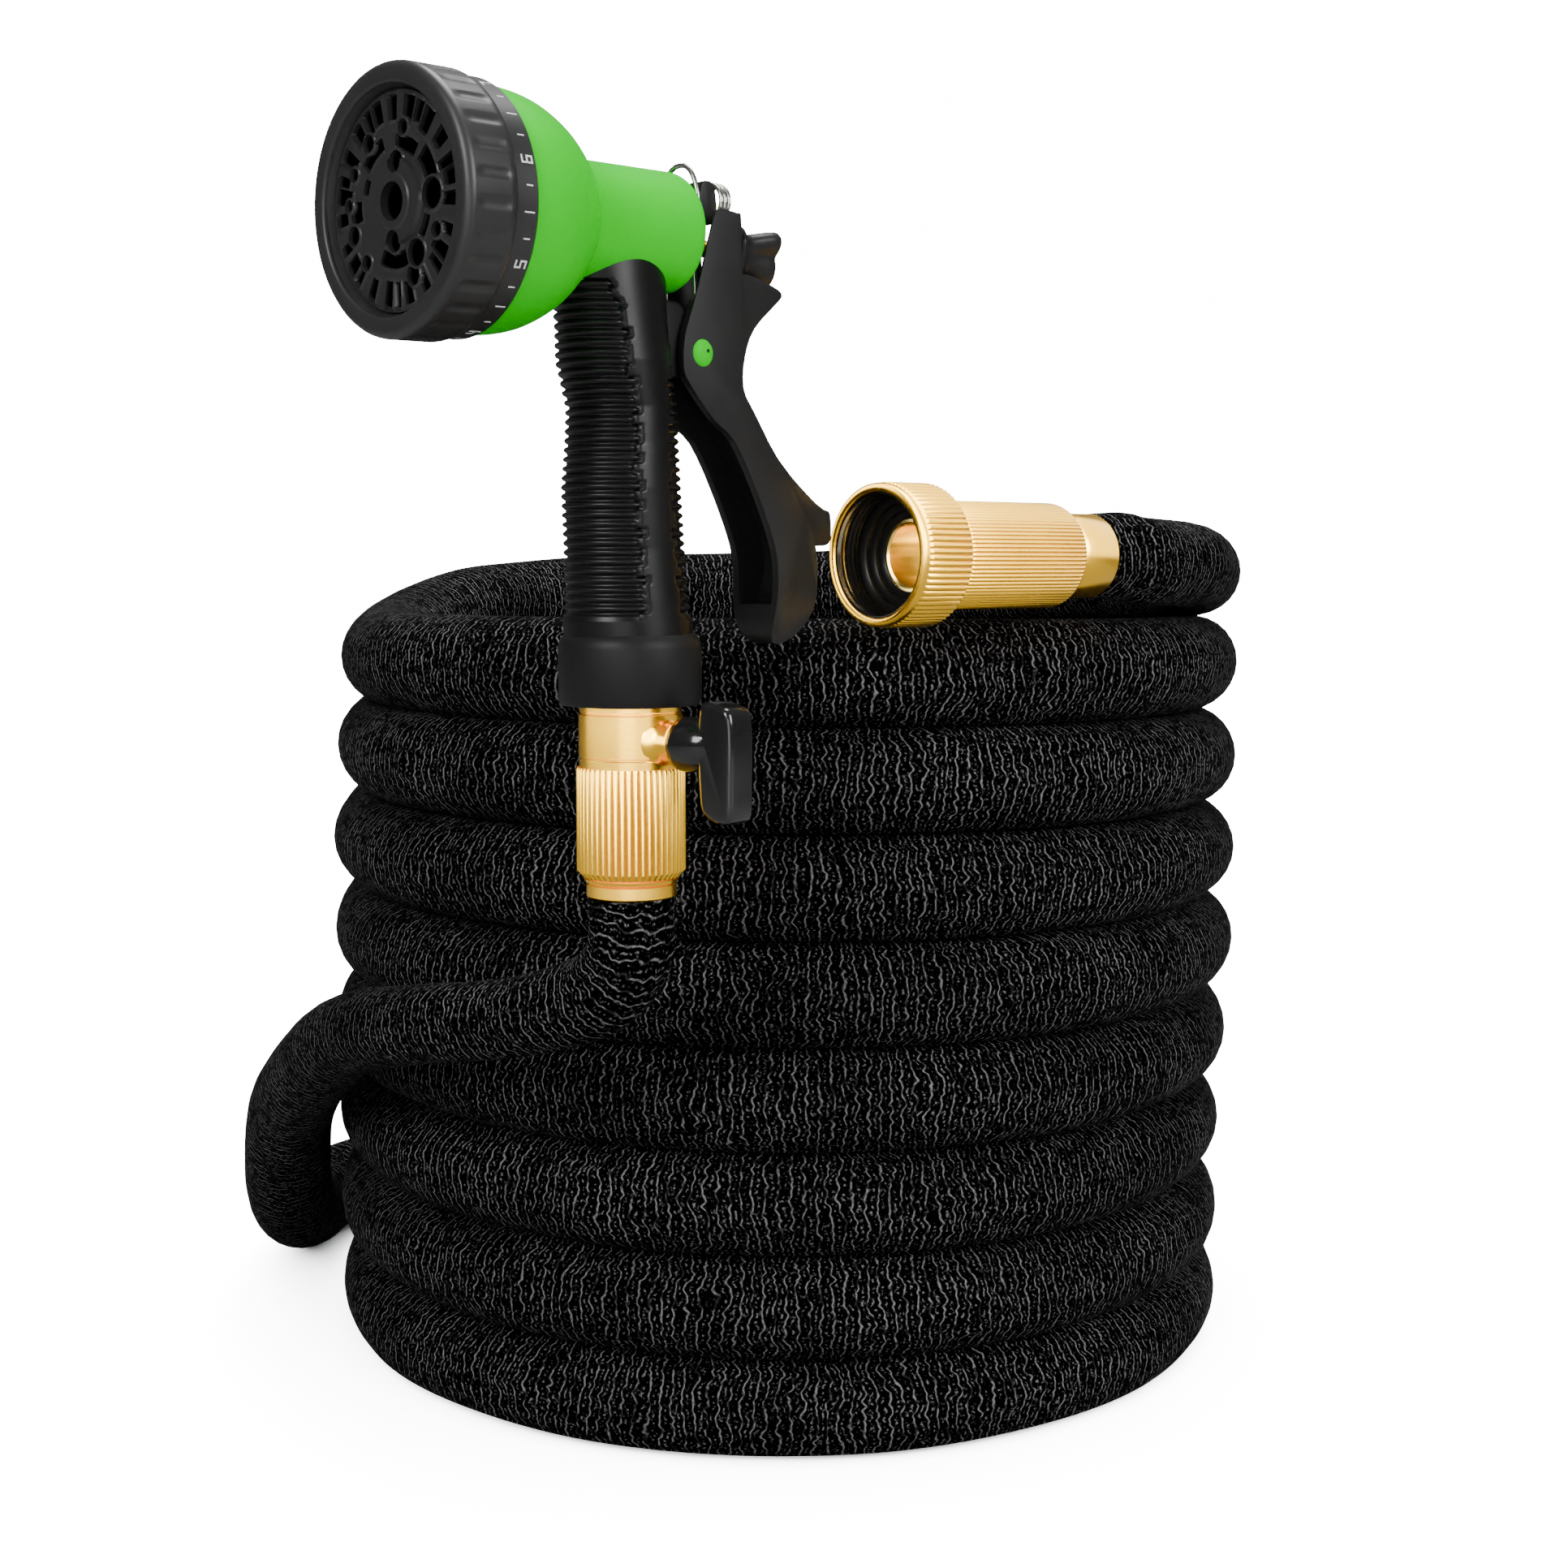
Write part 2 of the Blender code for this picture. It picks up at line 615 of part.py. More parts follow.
def spray_head(nozzle, green, black):
    """Barrel with bell, the pattern dial and its pierced face."""
    holder = empty("head_axis", along_x(HEAD_HEIGHT, HEAD_TILT), nozzle)
    front_bore = BELL_RADIUS - BELL_WALL
    mouth_floor = BELL_FRONT - BELL_MOUTH_DEPTH
    barrel = lathe("nozzle_barrel", [
        (0.0, -BARREL_REAR),
        *barrel_rear(),
        *bell_profile(),
        (front_bore, BELL_FRONT),
        (front_bore, mouth_floor),
        (0.0, mouth_floor),
    ], green, holder, 32)
    socket_mouth = -BARREL_REAR - BARREL_ROUND
    socket_floor = -BARREL_REAR + ROD_SOCKET + RUN_GAP
    socket = lathe("rod_socket", [
        (0.0, socket_mouth),
        (ROD_RADIUS + RUN_GAP, socket_mouth),
        (ROD_RADIUS + RUN_GAP, socket_floor),
        (0.0, socket_floor),
    ], None, nozzle, 16)
    socket.matrix_local = along_x(ROD_HEIGHT)
    combine(barrel, socket, "DIFFERENCE")
    band_back = BELL_FRONT + RUN_GAP
    ring_back = DIAL_FRONT - DIAL_RING_LENGTH
    face_front = DIAL_FRONT - FACE_RECESS
    face_back = face_front - FACE_THICKNESS
    lathe("dial_ring", [
        (FACE_RADIUS + TOUCH_GAP, face_back - TOUCH_GAP),
        (FACE_RADIUS + TOUCH_GAP, DIAL_FRONT - DIAL_EDGE),
        (FACE_RADIUS + DIAL_EDGE, DIAL_FRONT),
        (DIAL_RADIUS - DIAL_EDGE, DIAL_FRONT),
        (DIAL_RADIUS, DIAL_FRONT - DIAL_EDGE),
        (DIAL_RADIUS, ring_back + DIAL_EDGE),
        (BAND_RADIUS, ring_back),
        (BAND_RADIUS, band_back),
        (DIAL_HUB_RADIUS, band_back),
        (DIAL_HUB_RADIUS, face_back - TOUCH_GAP),
    ], black, holder, 36)
    spray_face(holder, black, face_front, face_back)


def spray_face(holder, black, front, back):
    """The face disc with a raised centre and a ring of spray holes."""
    centre_front = front + FACE_RAISED
    centre_radius = FACE_CENTRE_RADIUS
    face = lathe("spray_face", [
        (0.0, back),
        (FACE_RADIUS - TOUCH_GAP, back),
        (FACE_RADIUS - TOUCH_GAP, front),
        (centre_radius, front),
        (centre_radius - FACE_RAISED / 2, centre_front),
        (0.0, centre_front),
    ], black, holder, 32)
    hole = lathe("spray_bore", [
        (0.0, back - FACE_THICKNESS),
        (SPRAY_BORE, back - FACE_THICKNESS),
        (SPRAY_BORE, front + FACE_THICKNESS),
        (0.0, front + FACE_THICKNESS),
    ], None, holder, 16)
    combine(face, hole, "DIFFERENCE")


GRIP_SECTIONS = (
    # share of the grip's height, centre, half depth, half width
    (0.000, -0.0004, 0.0132, 0.0130),
    (0.109, -0.0008, 0.0134, 0.0127),
    (0.240, -0.0013, 0.0128, 0.0121),
    (0.397, -0.0020, 0.0128, 0.0119),
    (0.515, -0.0018, 0.0120, 0.0115),
    (0.607, -0.0018, 0.0116, 0.0113),
    (0.725, -0.0038, 0.0122, 0.0113),
    (0.830, -0.0046, 0.0118, 0.0106),
    (0.908, -0.0050, 0.0124, 0.0102),
    (1.000, -0.0052, 0.0128, 0.0098),
)


def nozzle_grip(nozzle, black, head_cutter_parent):
    """The lofted handle with its barrel saddle and the trigger's pivot lug."""
    base = COLLAR_TOP + TOUCH_GAP
    turns = [math.tau * k / GRIP_SIDES for k in range(GRIP_SIDES)]
    rings = []
    for share, centre, depth, width in GRIP_SECTIONS:
        height = base + share * (GRIP_TOP - base)
        rings.append([(centre + depth * math.cos(a), width * math.sin(a), height) for a in turns])
    grip = loft("nozzle_grip", rings, black, nozzle)
    lug = plate("pivot_lug", from_pivot(LUG), LUG_HALF_WIDTH, None, nozzle)
    combine(grip, lug, "UNION")
    saddle_rear = -BARREL_REAR - BARREL_RADIUS
    saddle = lathe("grip_saddle", [
        (0.0, saddle_rear),
        (BARREL_RADIUS + TOUCH_GAP, saddle_rear),
        *bell_profile(TOUCH_GAP),
        (0.0, BELL_FRONT),
    ], None, head_cutter_parent, 32)
    combine(grip, saddle, "DIFFERENCE")
    pin_hole = side_cylinder("grip_pin_hole", PIVOT, PIN_RADIUS + TOUCH_GAP, COLLAR_RADIUS, nozzle)
    combine(grip, pin_hole, "DIFFERENCE")


def side_cylinder(name, place, radius, half_length, parent, surface=None):
    """A round bar along Y through a place in the nozzle's frame."""
    bar = lathe(name, [
        (0.0, -half_length),
        (radius, -half_length),
        (radius, half_length),
        (0.0, half_length),
    ], surface, parent, 20)
    bar.matrix_local = Matrix.Translation(place) @ Matrix.Rotation(-math.pi / 2, 4, "X")
    return bar


def inlet_collar(nozzle, black, rubber):
    """The nozzle's threaded inlet collar and the washer inside it."""
    bore = MALE_THREAD_RADIUS + TOUCH_GAP
    lip = COLLAR_TOP - COLLAR_LIP
    chamfer = COLLAR_CHAMFER
    lathe("inlet_collar", [
        (bore, COLLAR_BASE),
        (COLLAR_RADIUS - chamfer / 2, COLLAR_BASE),
        (COLLAR_RADIUS, COLLAR_BASE + chamfer),
        (COLLAR_RADIUS, COLLAR_TOP - chamfer),
        (COLLAR_RADIUS - chamfer, COLLAR_TOP),
        (VALVE_BORE, COLLAR_TOP),
        (VALVE_BORE, lip),
        (bore, lip),
    ], black, nozzle, 28)
    washer_low = COLLAR_BASE + MALE_THREAD_LENGTH + TOUCH_GAP
    lathe("inlet_washer", [
        (VALVE_BORE, washer_low),
        (MALE_THREAD_RADIUS, washer_low),
        (MALE_THREAD_RADIUS, lip - TOUCH_GAP),
        (VALVE_BORE, lip - TOUCH_GAP),
    ], rubber, nozzle, 24)


TRIGGER_REAR = (
    # x, z from the pivot, down the rear edge to the foot
    (0.0109, 0.0289),
    (0.0111, 0.0176),
    (0.0159, 0.0162),
    (0.0223, 0.0142),
    (0.0221, 0.0126),
    (0.0147, 0.0060),
    (0.0119, 0.0000),
    (0.0115, -0.0065),
    (0.0147, -0.0114),
    (0.0219, -0.0215),
    (0.0267, -0.0280),
    (0.0305, -0.0340),
    (0.0330, -0.0391),
    (0.0335, -0.0459),
    (0.0327, -0.0524),
    (0.0295, -0.0576),
    (0.0250, -0.0598),
)

TRIGGER_FRONT = (
    # x, z from the pivot, back up the front edge
    (0.0219, -0.0593),
    (0.0209, -0.0546),
    (0.0216, -0.0459),
    (0.0199, -0.0385),
    (0.0137, -0.0268),
    (0.0077, -0.0174),
    (0.0024, -0.0132),
    (-0.0038, -0.0066),
    (-0.0054, -0.0033),
    (-0.0049, 0.0029),
    (-0.0026, 0.0092),
    (-0.0004, 0.0155),
    (0.0019, 0.0231),
    (0.0038, 0.0293),
)

SPUR = (
    # x, z from the pivot, round the palm spur behind the lever
    (0.0199, -0.0176),
    (0.0237, -0.0196),
    (0.0288, -0.0238),
    (0.0348, -0.0280),
    (0.0404, -0.0306),
    (0.0439, -0.0318),
    (0.0442, -0.0361),
    (0.0404, -0.0358),
    (0.0359, -0.0346),
    (0.0299, -0.0366),
)


BRIDGE = (
    # x, z from the pivot, round the bar that ties the two walls at the top
    (0.0047, 0.0272),
    (0.0071, 0.0272),
    (0.0065, 0.0344),
    (0.0049, 0.0344),
)

LUG = (
    # x, z from the pivot, round the grip's lug that carries the trigger
    (-0.0141, -0.0066),
    (-0.0012, -0.0045),
    (0.0028, -0.0030),
    (0.0042, 0.0000),
    (0.0028, 0.0034),
    (-0.0040, 0.0100),
    (-0.0141, 0.0110),
)


def from_pivot(outline):
    """Move an outline's points from the pivot into the nozzle's frame."""
    return [(PIVOT.x + x, PIVOT.z + z) for x, z in outline]


def trigger(nozzle, black):
    """The squeeze lever: a channel open towards the grip, with a palm spur."""
    holder = empty("trigger_axis", Matrix.Translation(PIVOT), nozzle)
    lever = plate("trigger", TRIGGER_REAR + TRIGGER_FRONT, TRIGGER_HALF_WIDTH, black, holder)
    spur = plate("trigger_spur", SPUR, SPUR_HALF_WIDTH, None, holder)
    combine(lever, spur, "UNION")
    inside = TRIGGER_HALF_WIDTH - TRIGGER_WALL
    channel = plate("trigger_channel", channel_outline(), inside, None, holder)
    combine(lever, channel, "DIFFERENCE")
    bridge = plate("trigger_bridge", BRIDGE, inside + TRIGGER_WALL / 4, None, holder)
    combine(lever, bridge, "UNION")
    pin_hole = side_cylinder("trigger_pin_hole", PIVOT, PIN_RADIUS + TOUCH_GAP, COLLAR_RADIUS, nozzle)
    combine(lever, pin_hole, "DIFFERENCE")
    bail_hole = side_cylinder("trigger_bail_hole", BAIL_PIVOT, WIRE_RADIUS + TOUCH_GAP,
                              COLLAR_RADIUS, nozzle)
    combine(lever, bail_hole, "DIFFERENCE")
    return holder


def channel_outline():
    """The hollow of the lever: the rear edge moved in by the web, above the
    closed foot, open to the front and, beside the rod, to the rear."""
    edge = [Vector(point) for point in TRIGGER_REAR[4:16]]
    inset = []
    for before, here, after in zip(edge, edge[1:], edge[2:]):
        along = (after - before).normalized()
        inset.append(tuple(here + Vector((along.y, -along.x)) * WEB_THICKNESS))
    rod_slot = [(0.0279, 0.0314), (0.0279, 0.0176), (0.0149, 0.0144)]
    front = [(0.0259, -0.0554), (0.0159, -0.0554), (-0.0141, -0.0196), (-0.0141, 0.0314)]
    return rod_slot + inset + front


def trigger_pin(nozzle, green):
    """A rivet with a domed head outside each wall of the trigger."""
    inner = TRIGGER_HALF_WIDTH + TOUCH_GAP
    outer = inner + PIN_HEAD_HEIGHT
    half = [
        (PIN_RADIUS, inner),
        (PIN_HEAD_RADIUS, inner),
        (0.9 * PIN_HEAD_RADIUS, inner + 0.6 * PIN_HEAD_HEIGHT),
        (0.55 * PIN_HEAD_RADIUS, outer),
        (0.0, outer),
    ]
    mirrored = [(radius, -height) for radius, height in reversed(half)]
    pin = lathe("trigger_pin", mirrored + half, green, nozzle, 20)
    pin.matrix_local = Matrix.Translation(PIVOT) @ Matrix.Rotation(-math.pi / 2, 4, "X")


def pull_rod(nozzle, brass, black):
    """The rod that the trigger pulls, and the flared knob on its end."""
    holder = empty("rod_axis", Matrix.Translation((0.0, 0.0, ROD_HEIGHT))
                   @ Matrix.Rotation(math.pi / 2, 4, "Y"), nozzle)
    lathe("pull_rod", [
        (0.0, BARREL_REAR - ROD_SOCKET),
        (ROD_RADIUS, BARREL_REAR - ROD_SOCKET),
        (ROD_RADIUS, KNOB_START + KNOB_SEAT),
        (0.0, KNOB_START + KNOB_SEAT),
    ], brass, holder, 16)
    lathe("flow_knob", [
        (ROD_RADIUS + TOUCH_GAP, KNOB_START),
        (KNOB_FLANGE_RADIUS, KNOB_START),
        (KNOB_FLANGE_RADIUS, KNOB_START + KNOB_FLANGE_LENGTH),
        (KNOB_WAIST_RADIUS, KNOB_START + 2 * KNOB_FLANGE_LENGTH),
        (KNOB_RADIUS, KNOB_END - KNOB_CHAMFER),
        (KNOB_RADIUS - KNOB_CHAMFER, KNOB_END),
        (0.0, KNOB_END),
        (0.0, KNOB_START + KNOB_SEAT + TOUCH_GAP),
        (ROD_RADIUS + TOUCH_GAP, KNOB_START + KNOB_SEAT + TOUCH_GAP),
    ], black, holder, 24)


def lock_bail(holder, steel):
    """The wire bail: feet in the trigger's walls, legs, and a round arch."""
    foot = TRIGGER_HALF_WIDTH - TRIGGER_WALL + RUN_GAP
    shoulder = BAIL_HEIGHT - BAIL_HALF_WIDTH
    points = [Vector((0.0, -foot, 0.0)), Vector((0.0, -BAIL_FOOT, 0.0))]
    for i in range(BAIL_ARCH_STEPS + 1):
        angle = math.pi * i / BAIL_ARCH_STEPS
        rise = shoulder + BAIL_HALF_WIDTH * math.sin(angle)
        lean = BAIL_LEAN * rise / BAIL_HEIGHT
        points.append(Vector((lean, -BAIL_HALF_WIDTH * math.cos(angle), rise)))
    points += [Vector((0.0, BAIL_FOOT, 0.0)), Vector((0.0, foot, 0.0))]
    frame = empty("bail_axis", Matrix.Translation(BAIL_PIVOT - PIVOT), holder)
    tube("lock_bail", points, [WIRE_RADIUS] * len(points), steel, frame, WIRE_SIDES)


def lock_spring(holder, steel):
    """Two turns of spring wire between the trigger's top and the knob."""
    points = []
    for i in range(SPRING_TURNS * SPRING_STEPS + 1):
        angle = math.tau * i / SPRING_STEPS
        around = Vector((0.0, -math.cos(angle), math.sin(angle))) * SPRING_RADIUS
        advance = Vector((SPRING_PITCH * i / SPRING_STEPS, 0.0, 0.0))
        points.append(SPRING_CENTRE - PIVOT + around + advance)
    tube("lock_spring", points, [WIRE_RADIUS] * len(points), steel, holder, WIRE_SIDES)


def build():
    """Clear the scene and make every piece under the coil's own axis."""
    for item in list(bpy.data.objects):
        bpy.data.objects.remove(item, do_unlink=True)
    fabric = material("hose_fabric", FABRIC_BLACK, 0.9)
    brass = material("brass", BRASS, 0.35, 1.0)
    rubber = material("rubber", BLACK, 0.8)
    green = material("green_plastic", GREEN, 0.45)
    black = material("black_plastic", BLACK, 0.5)
    grip_black = material("grip_rubber", GRIP_BLACK, 0.65)
    steel = material("steel_wire", STEEL, 0.3, 1.0)

    root = empty("coil_axis", Matrix.Translation(COIL_CENTRE))
    hose_coil(fabric, root)
    top_points, top_radii = zip(*top_turn_points())
    tube("hose_top_turn", top_points, top_radii, fabric, root)
    lead_points, lead_radii = zip(*hose_lead_points())
    tube("hose_lead", lead_points, lead_radii, fabric, root)

    supply_connector(root, brass, rubber)

    nozzle = empty("nozzle_axis", Matrix.Translation(nozzle_foot())
                   @ Matrix.Rotation(NOZZLE_AZIMUTH, 4, "Z"), root)
    shut_off_valve(nozzle, brass, black)
    inlet_collar(nozzle, grip_black, rubber)
    head_frame = empty("grip_cutters", along_x(HEAD_HEIGHT, HEAD_TILT), nozzle)
    nozzle_grip(nozzle, grip_black, head_frame)
    spray_head(nozzle, green, black)
    trigger_frame = trigger(nozzle, black)
    trigger_pin(nozzle, green)
    pull_rod(nozzle, brass, black)
    lock_bail(trigger_frame, steel)
    lock_spring(trigger_frame, steel)


build()
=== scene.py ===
"""The coiled garden hose as the photograph shows it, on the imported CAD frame."""
import json
import math

import bmesh
import bpy
import numpy as np
from mathutils import Matrix, Vector

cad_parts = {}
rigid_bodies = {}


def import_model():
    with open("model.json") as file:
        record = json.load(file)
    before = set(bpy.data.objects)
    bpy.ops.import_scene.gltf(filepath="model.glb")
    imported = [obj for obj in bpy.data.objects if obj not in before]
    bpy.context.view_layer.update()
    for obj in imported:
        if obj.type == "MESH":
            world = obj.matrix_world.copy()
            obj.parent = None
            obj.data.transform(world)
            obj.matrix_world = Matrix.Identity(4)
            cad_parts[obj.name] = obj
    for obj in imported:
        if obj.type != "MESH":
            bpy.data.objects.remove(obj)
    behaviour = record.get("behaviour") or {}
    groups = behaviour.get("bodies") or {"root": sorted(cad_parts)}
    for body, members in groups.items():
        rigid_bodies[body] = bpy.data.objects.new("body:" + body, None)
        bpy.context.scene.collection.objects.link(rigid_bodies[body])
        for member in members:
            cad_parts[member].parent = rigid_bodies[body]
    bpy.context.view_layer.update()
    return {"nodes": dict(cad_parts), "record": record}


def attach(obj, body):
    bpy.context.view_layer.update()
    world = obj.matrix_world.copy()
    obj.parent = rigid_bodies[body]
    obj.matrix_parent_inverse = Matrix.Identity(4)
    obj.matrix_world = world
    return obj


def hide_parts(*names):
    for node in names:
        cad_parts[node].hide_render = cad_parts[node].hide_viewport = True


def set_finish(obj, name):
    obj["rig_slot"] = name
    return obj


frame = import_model()

# Where the coil's axis stands, and the sizes and heights of the pieces, in metres.
COIL_CENTRE = Vector((0.0172, 0.0363, 0.0))
COIL_SINK = 0.003
COIL_RADIUS = 0.1125
HOSE_DIAMETER = 0.025
COIL_TURNS = 8
NOZZLE_ANGLE = math.radians(259.3)
NOZZLE_OUT = 0.0564
NOZZLE_AZIMUTH = math.radians(45)
SWIVEL_ANGLE = math.radians(278.4)
SWIVEL_OUT = 0.0229
SWIVEL_AZIMUTH = math.radians(50)
SWIVEL_HEIGHT = 0.2109
TO_FERRULE_END = 0.0695
VALVE_COLLAR_BASE = 0.1411
COLLAR_TOP = 0.1934
HEAD_HEIGHT = 0.2753
HEAD_TILT = math.radians(1)
STEM_HEIGHT = 0.1732
ROD_HEIGHT = 0.2737
GRIP_TOP = 0.2697
PIVOT = Vector((0.0141, 0.0, 0.2516))
BARREL_RADIUS = 0.0122
BELL_RADIUS = 0.0226
BELL_FRONT = 0.0405
DIAL_FRONT = 0.0573
RING_BACK = 0.046
DIAL_RADIUS = 0.0246
BAND_RADIUS = 0.0238
FACE_RADIUS = 0.0199
FACE_RECESS = 0.0022
BAIL_HEIGHT = 0.0291
BAIL_HALF_WIDTH = 0.0057
BAIL_HALF_HEIGHT = 0.0104
CAMERA_PLACE = Vector((0.0, -0.6, 0.209))
CAMERA_TILT = math.radians(5.9)
CAMERA_LENS = 48.9

# The world's strength near the floor and overhead, then the lights' powers.
WORLD_LOW = 2.1
WORLD_HIGH = 4.2
KEY_POWER = 34.0
FRONT_POWER = 9.0
FILL_POWER = 30.0
TOP_POWER = 30.0
FLOOR_SUN = 80.0
BRASS_SHINE = 26.0
BRASS_SIDE = 10.0
BACKDROP_GLOW = 16.0


def around_coil(angle, out, height):
    """A point beside the coil, in the row frame."""
    reach = COIL_RADIUS + out
    return COIL_CENTRE + Vector((reach * math.cos(angle), reach * math.sin(angle), height))


def in_scene(name, data):
    """A new object of that name, linked to the scene."""
    made = bpy.data.objects.new(name, data)
    bpy.context.scene.collection.objects.link(made)
    return made


def mm(*rows):
    """Rows of millimetres, in metres."""
    return [tuple(value / 1000 for value in row) for row in rows]


# Materials

def new_material(name):
    made = bpy.data.materials.new(name)
    made.use_nodes = True
    return made, Nodes(made.node_tree), made.node_tree.nodes["Principled BSDF"]


class Nodes:
    """A short way to add shader nodes and join them."""

    def __init__(self, tree):
        self.tree = tree

    def add(self, kind, **values):
        node = self.tree.nodes.new(kind)
        for key, value in values.items():
            setattr(node, key, value)
        return node

    def put(self, socket, value):
        if isinstance(value, bpy.types.NodeSocket):
            self.tree.links.new(value, socket)
        elif value is not None:
            socket.default_value = value

    def math(self, operation, a, b=None, c=None, clamp=False):
        node = self.add("ShaderNodeMath", operation=operation, use_clamp=clamp)
        for socket, value in zip(node.inputs, (a, b, c)):
            self.put(socket, value)
        return node.outputs[0]

    def vector(self, operation, a, b=None):
        node = self.add("ShaderNodeVectorMath", operation=operation)
        for socket, value in zip(node.inputs, (a, b)):
            self.put(socket, value)
        return node.outputs[0]

    def fill(self, node, values):
        for name, value in values.items():
            self.put(node.inputs[name], value)

    def noise(self, place, scale, detail=2.0):
        node = self.add("ShaderNodeTexNoise")
        self.fill(node, {"Vector": place, "Scale": scale, "Detail": detail})
        return node.outputs["Fac"]

    def stretched(self, place, scales, detail=1.0):
        return self.noise(self.vector("MULTIPLY", place, scales), 1.0, detail)

    def step(self, value, low, high, to_low=0.0, to_high=1.0):
        node = self.add("ShaderNodeMapRange", interpolation_type="SMOOTHSTEP")
        for socket, given in zip(node.inputs, (value, low, high, to_low, to_high)):
            self.put(socket, given)
        return node.outputs[0]

    def mix(self, share, a, b):
        node = self.add("ShaderNodeMix", data_type="RGBA")
        self.fill(node, {0: share, 6: a, 7: b})
        return node.outputs[2]

    def bump(self, height, strength, distance):
        node = self.add("ShaderNodeBump")
        self.fill(node, {"Height": height, "Strength": strength, "Distance": distance})
        return node.outputs["Normal"]


def rgba(red, green, blue):
    return (red, green, blue, 1.0)


def object_place(n):
    return n.add("ShaderNodeTexCoord").outputs["Object"]


def plain(name, colour, roughness, metallic=0.0, grain=0.0, grain_scale=900.0, mottle=0.12,
          specular=0.5):
    """A procedural finish: an even colour that varies a little, and a fine grain."""
    made, n, shader = new_material(name)
    place = object_place(n)
    cloud = n.noise(place, 55.0, 3.0)
    dark = rgba(*[c * (1 - mottle) for c in colour])
    light = rgba(*[min(1.0, c * (1 + mottle)) for c in colour])
    base = n.mix(cloud, dark, light)
    fine = n.noise(place, grain_scale, 2.0)
    n.fill(shader, {
        "Base Color": base, "Roughness": n.step(cloud, 0.3, 0.7, roughness * 0.88, roughness * 1.12),
        "Metallic": metallic, "Specular IOR Level": specular})
    if grain:
        n.put(shader.inputs["Normal"], n.bump(fine, grain, 0.0002))
    return made


HOSE_BLACK = rgba(0.0002, 0.0002, 0.00025)
HOSE_LINE = rgba(0.17, 0.17, 0.175)
# Along the hose: from one grey line to the next, and how far two slow waves push it.
LINE_PITCH = 0.0026
LINE_WAVE = 0.0027
LINE_SWAY = 0.005
DOT_SHARE = 0.75
STRAY_SHARE = 0.3


def hose_fabric():
    """Black crinkled fabric: thin wavy grey lines run round the hose, with rows
    of fine dots between them."""
    made, n, shader = new_material("hose_fabric")
    place = n.add("ShaderNodeAttribute", attribute_name="hose_place").outputs["Vector"]
    split = n.add("ShaderNodeSeparateXYZ")
    n.put(split.inputs[0], place)
    along = split.outputs[0]
    wave = n.stretched(place, (200.0, 430.0, 430.0))
    sway = n.stretched(place, (60.0, 90.0, 90.0))
    pushed = n.math("MULTIPLY_ADD", n.math("SUBTRACT", wave, 0.5), LINE_WAVE, along)
    pushed = n.math("MULTIPLY_ADD", n.math("SUBTRACT", sway, 0.5), LINE_SWAY, pushed)
    bead = n.stretched(place, (1200.0, 1500.0, 1500.0))

    def lines(shift, thin, soft):
        cycle = n.math("FRACT", n.math("ADD", n.math("DIVIDE", pushed, LINE_PITCH), shift))
        away = n.math("MULTIPLY", n.math("ABSOLUTE", n.math("SUBTRACT", cycle, 0.5)), LINE_PITCH)
        return n.step(away, thin, soft, 1.0, 0.0)

    beaded = n.step(bead, 0.3, 0.62, 0.42, 1.0)
    gaps = n.stretched(place, (300.0, 420.0, 420.0))
    broken = n.step(gaps, 0.36, 0.5, 0.12, 1.0)
    strong = n.math("MULTIPLY", lines(0.0, 0.00007, 0.00029), n.math("MULTIPLY", beaded, broken))
    dots = n.math("MULTIPLY", lines(0.5, 0.00008, 0.00036), n.step(bead, 0.52, 0.66))
    specks = n.stretched(place, (1700.0, 1500.0, 1500.0), 0.0)
    strays = n.step(specks, 0.68, 0.8)
    mark = n.math("MAXIMUM", strong, n.math("MULTIPLY", dots, DOT_SHARE))
    mark = n.math("MAXIMUM", mark, n.math("MULTIPLY", strays, STRAY_SHARE))
    cloud = n.noise(place, 50.0, 2.0)
    share = n.math("MULTIPLY", mark, n.step(cloud, 0.3, 0.7, 0.62, 1.0), clamp=True)
    n.fill(shader, {"Base Color": n.mix(share, HOSE_BLACK, HOSE_LINE), "Roughness": 0.7,
                    "Specular IOR Level": 0.01, "Normal": n.bump(wave, 0.5, 0.0006)})
    return made


FACE_LIT = rgba(0.018, 0.018, 0.0183)
# Painted shade: the near-black colour put in the slots and holes, where shade falls.
FACE_PAINTED_SHADE = rgba(0.0002, 0.0002, 0.0002)
# How far under the face's plane the painted shade darkens it: from here, and fully from there.
PAINTED_SHADE_FROM = 0.0001
PAINTED_SHADE_FULL = 0.0009


def face_plastic_painted_shade():
    """Satin black with painted shade: it turns deep black, and loses its specular, down in the slots and
    holes, where shade falls.
    """
    made, n, shader = new_material("face_plastic_painted_shade")
    split = n.add("ShaderNodeSeparateXYZ")
    n.put(split.inputs[0], object_place(n))
    plane = DIAL_FRONT - FACE_RECESS
    deep, lit = plane - PAINTED_SHADE_FULL, plane - PAINTED_SHADE_FROM
    # Painted shade: colour and specular step down to near black below the face's plane, in the slots and
    # holes.
    n.fill(shader, {"Base Color": n.mix(n.step(split.outputs[2], deep, lit), FACE_PAINTED_SHADE, FACE_LIT),
                    "Specular IOR Level": n.step(split.outputs[2], deep, lit, 0.0, 0.5),
                    "Roughness": 0.3})
    return made


# The hose, one length

def spline_point(before, start, stop, after, t):
    """The point a share t of the way from start to stop, on a smooth curve."""
    return 0.5 * (2 * start + (stop - before) * t
                  + (2 * before - 5 * start + 4 * stop - after) * t ** 2
                  + (3 * start - before - 3 * stop + after) * t ** 3)


def catmull_rom(controls, steps):
    """Points of a smooth curve through the control points."""
    ends = [2 * controls[0] - controls[1]] + controls + [2 * controls[-1] - controls[-2]]
    points = []
    for four in zip(ends, ends[1:], ends[2:], ends[3:]):
        points += [spline_point(*four, step / steps) for step in range(steps)]
    points.append(controls[-1])
    return points


def smooth(t):
    """An even start and stop between 0 and 1."""
    t = min(1.0, max(0.0, t))
    return t * t * (3 - 2 * t)


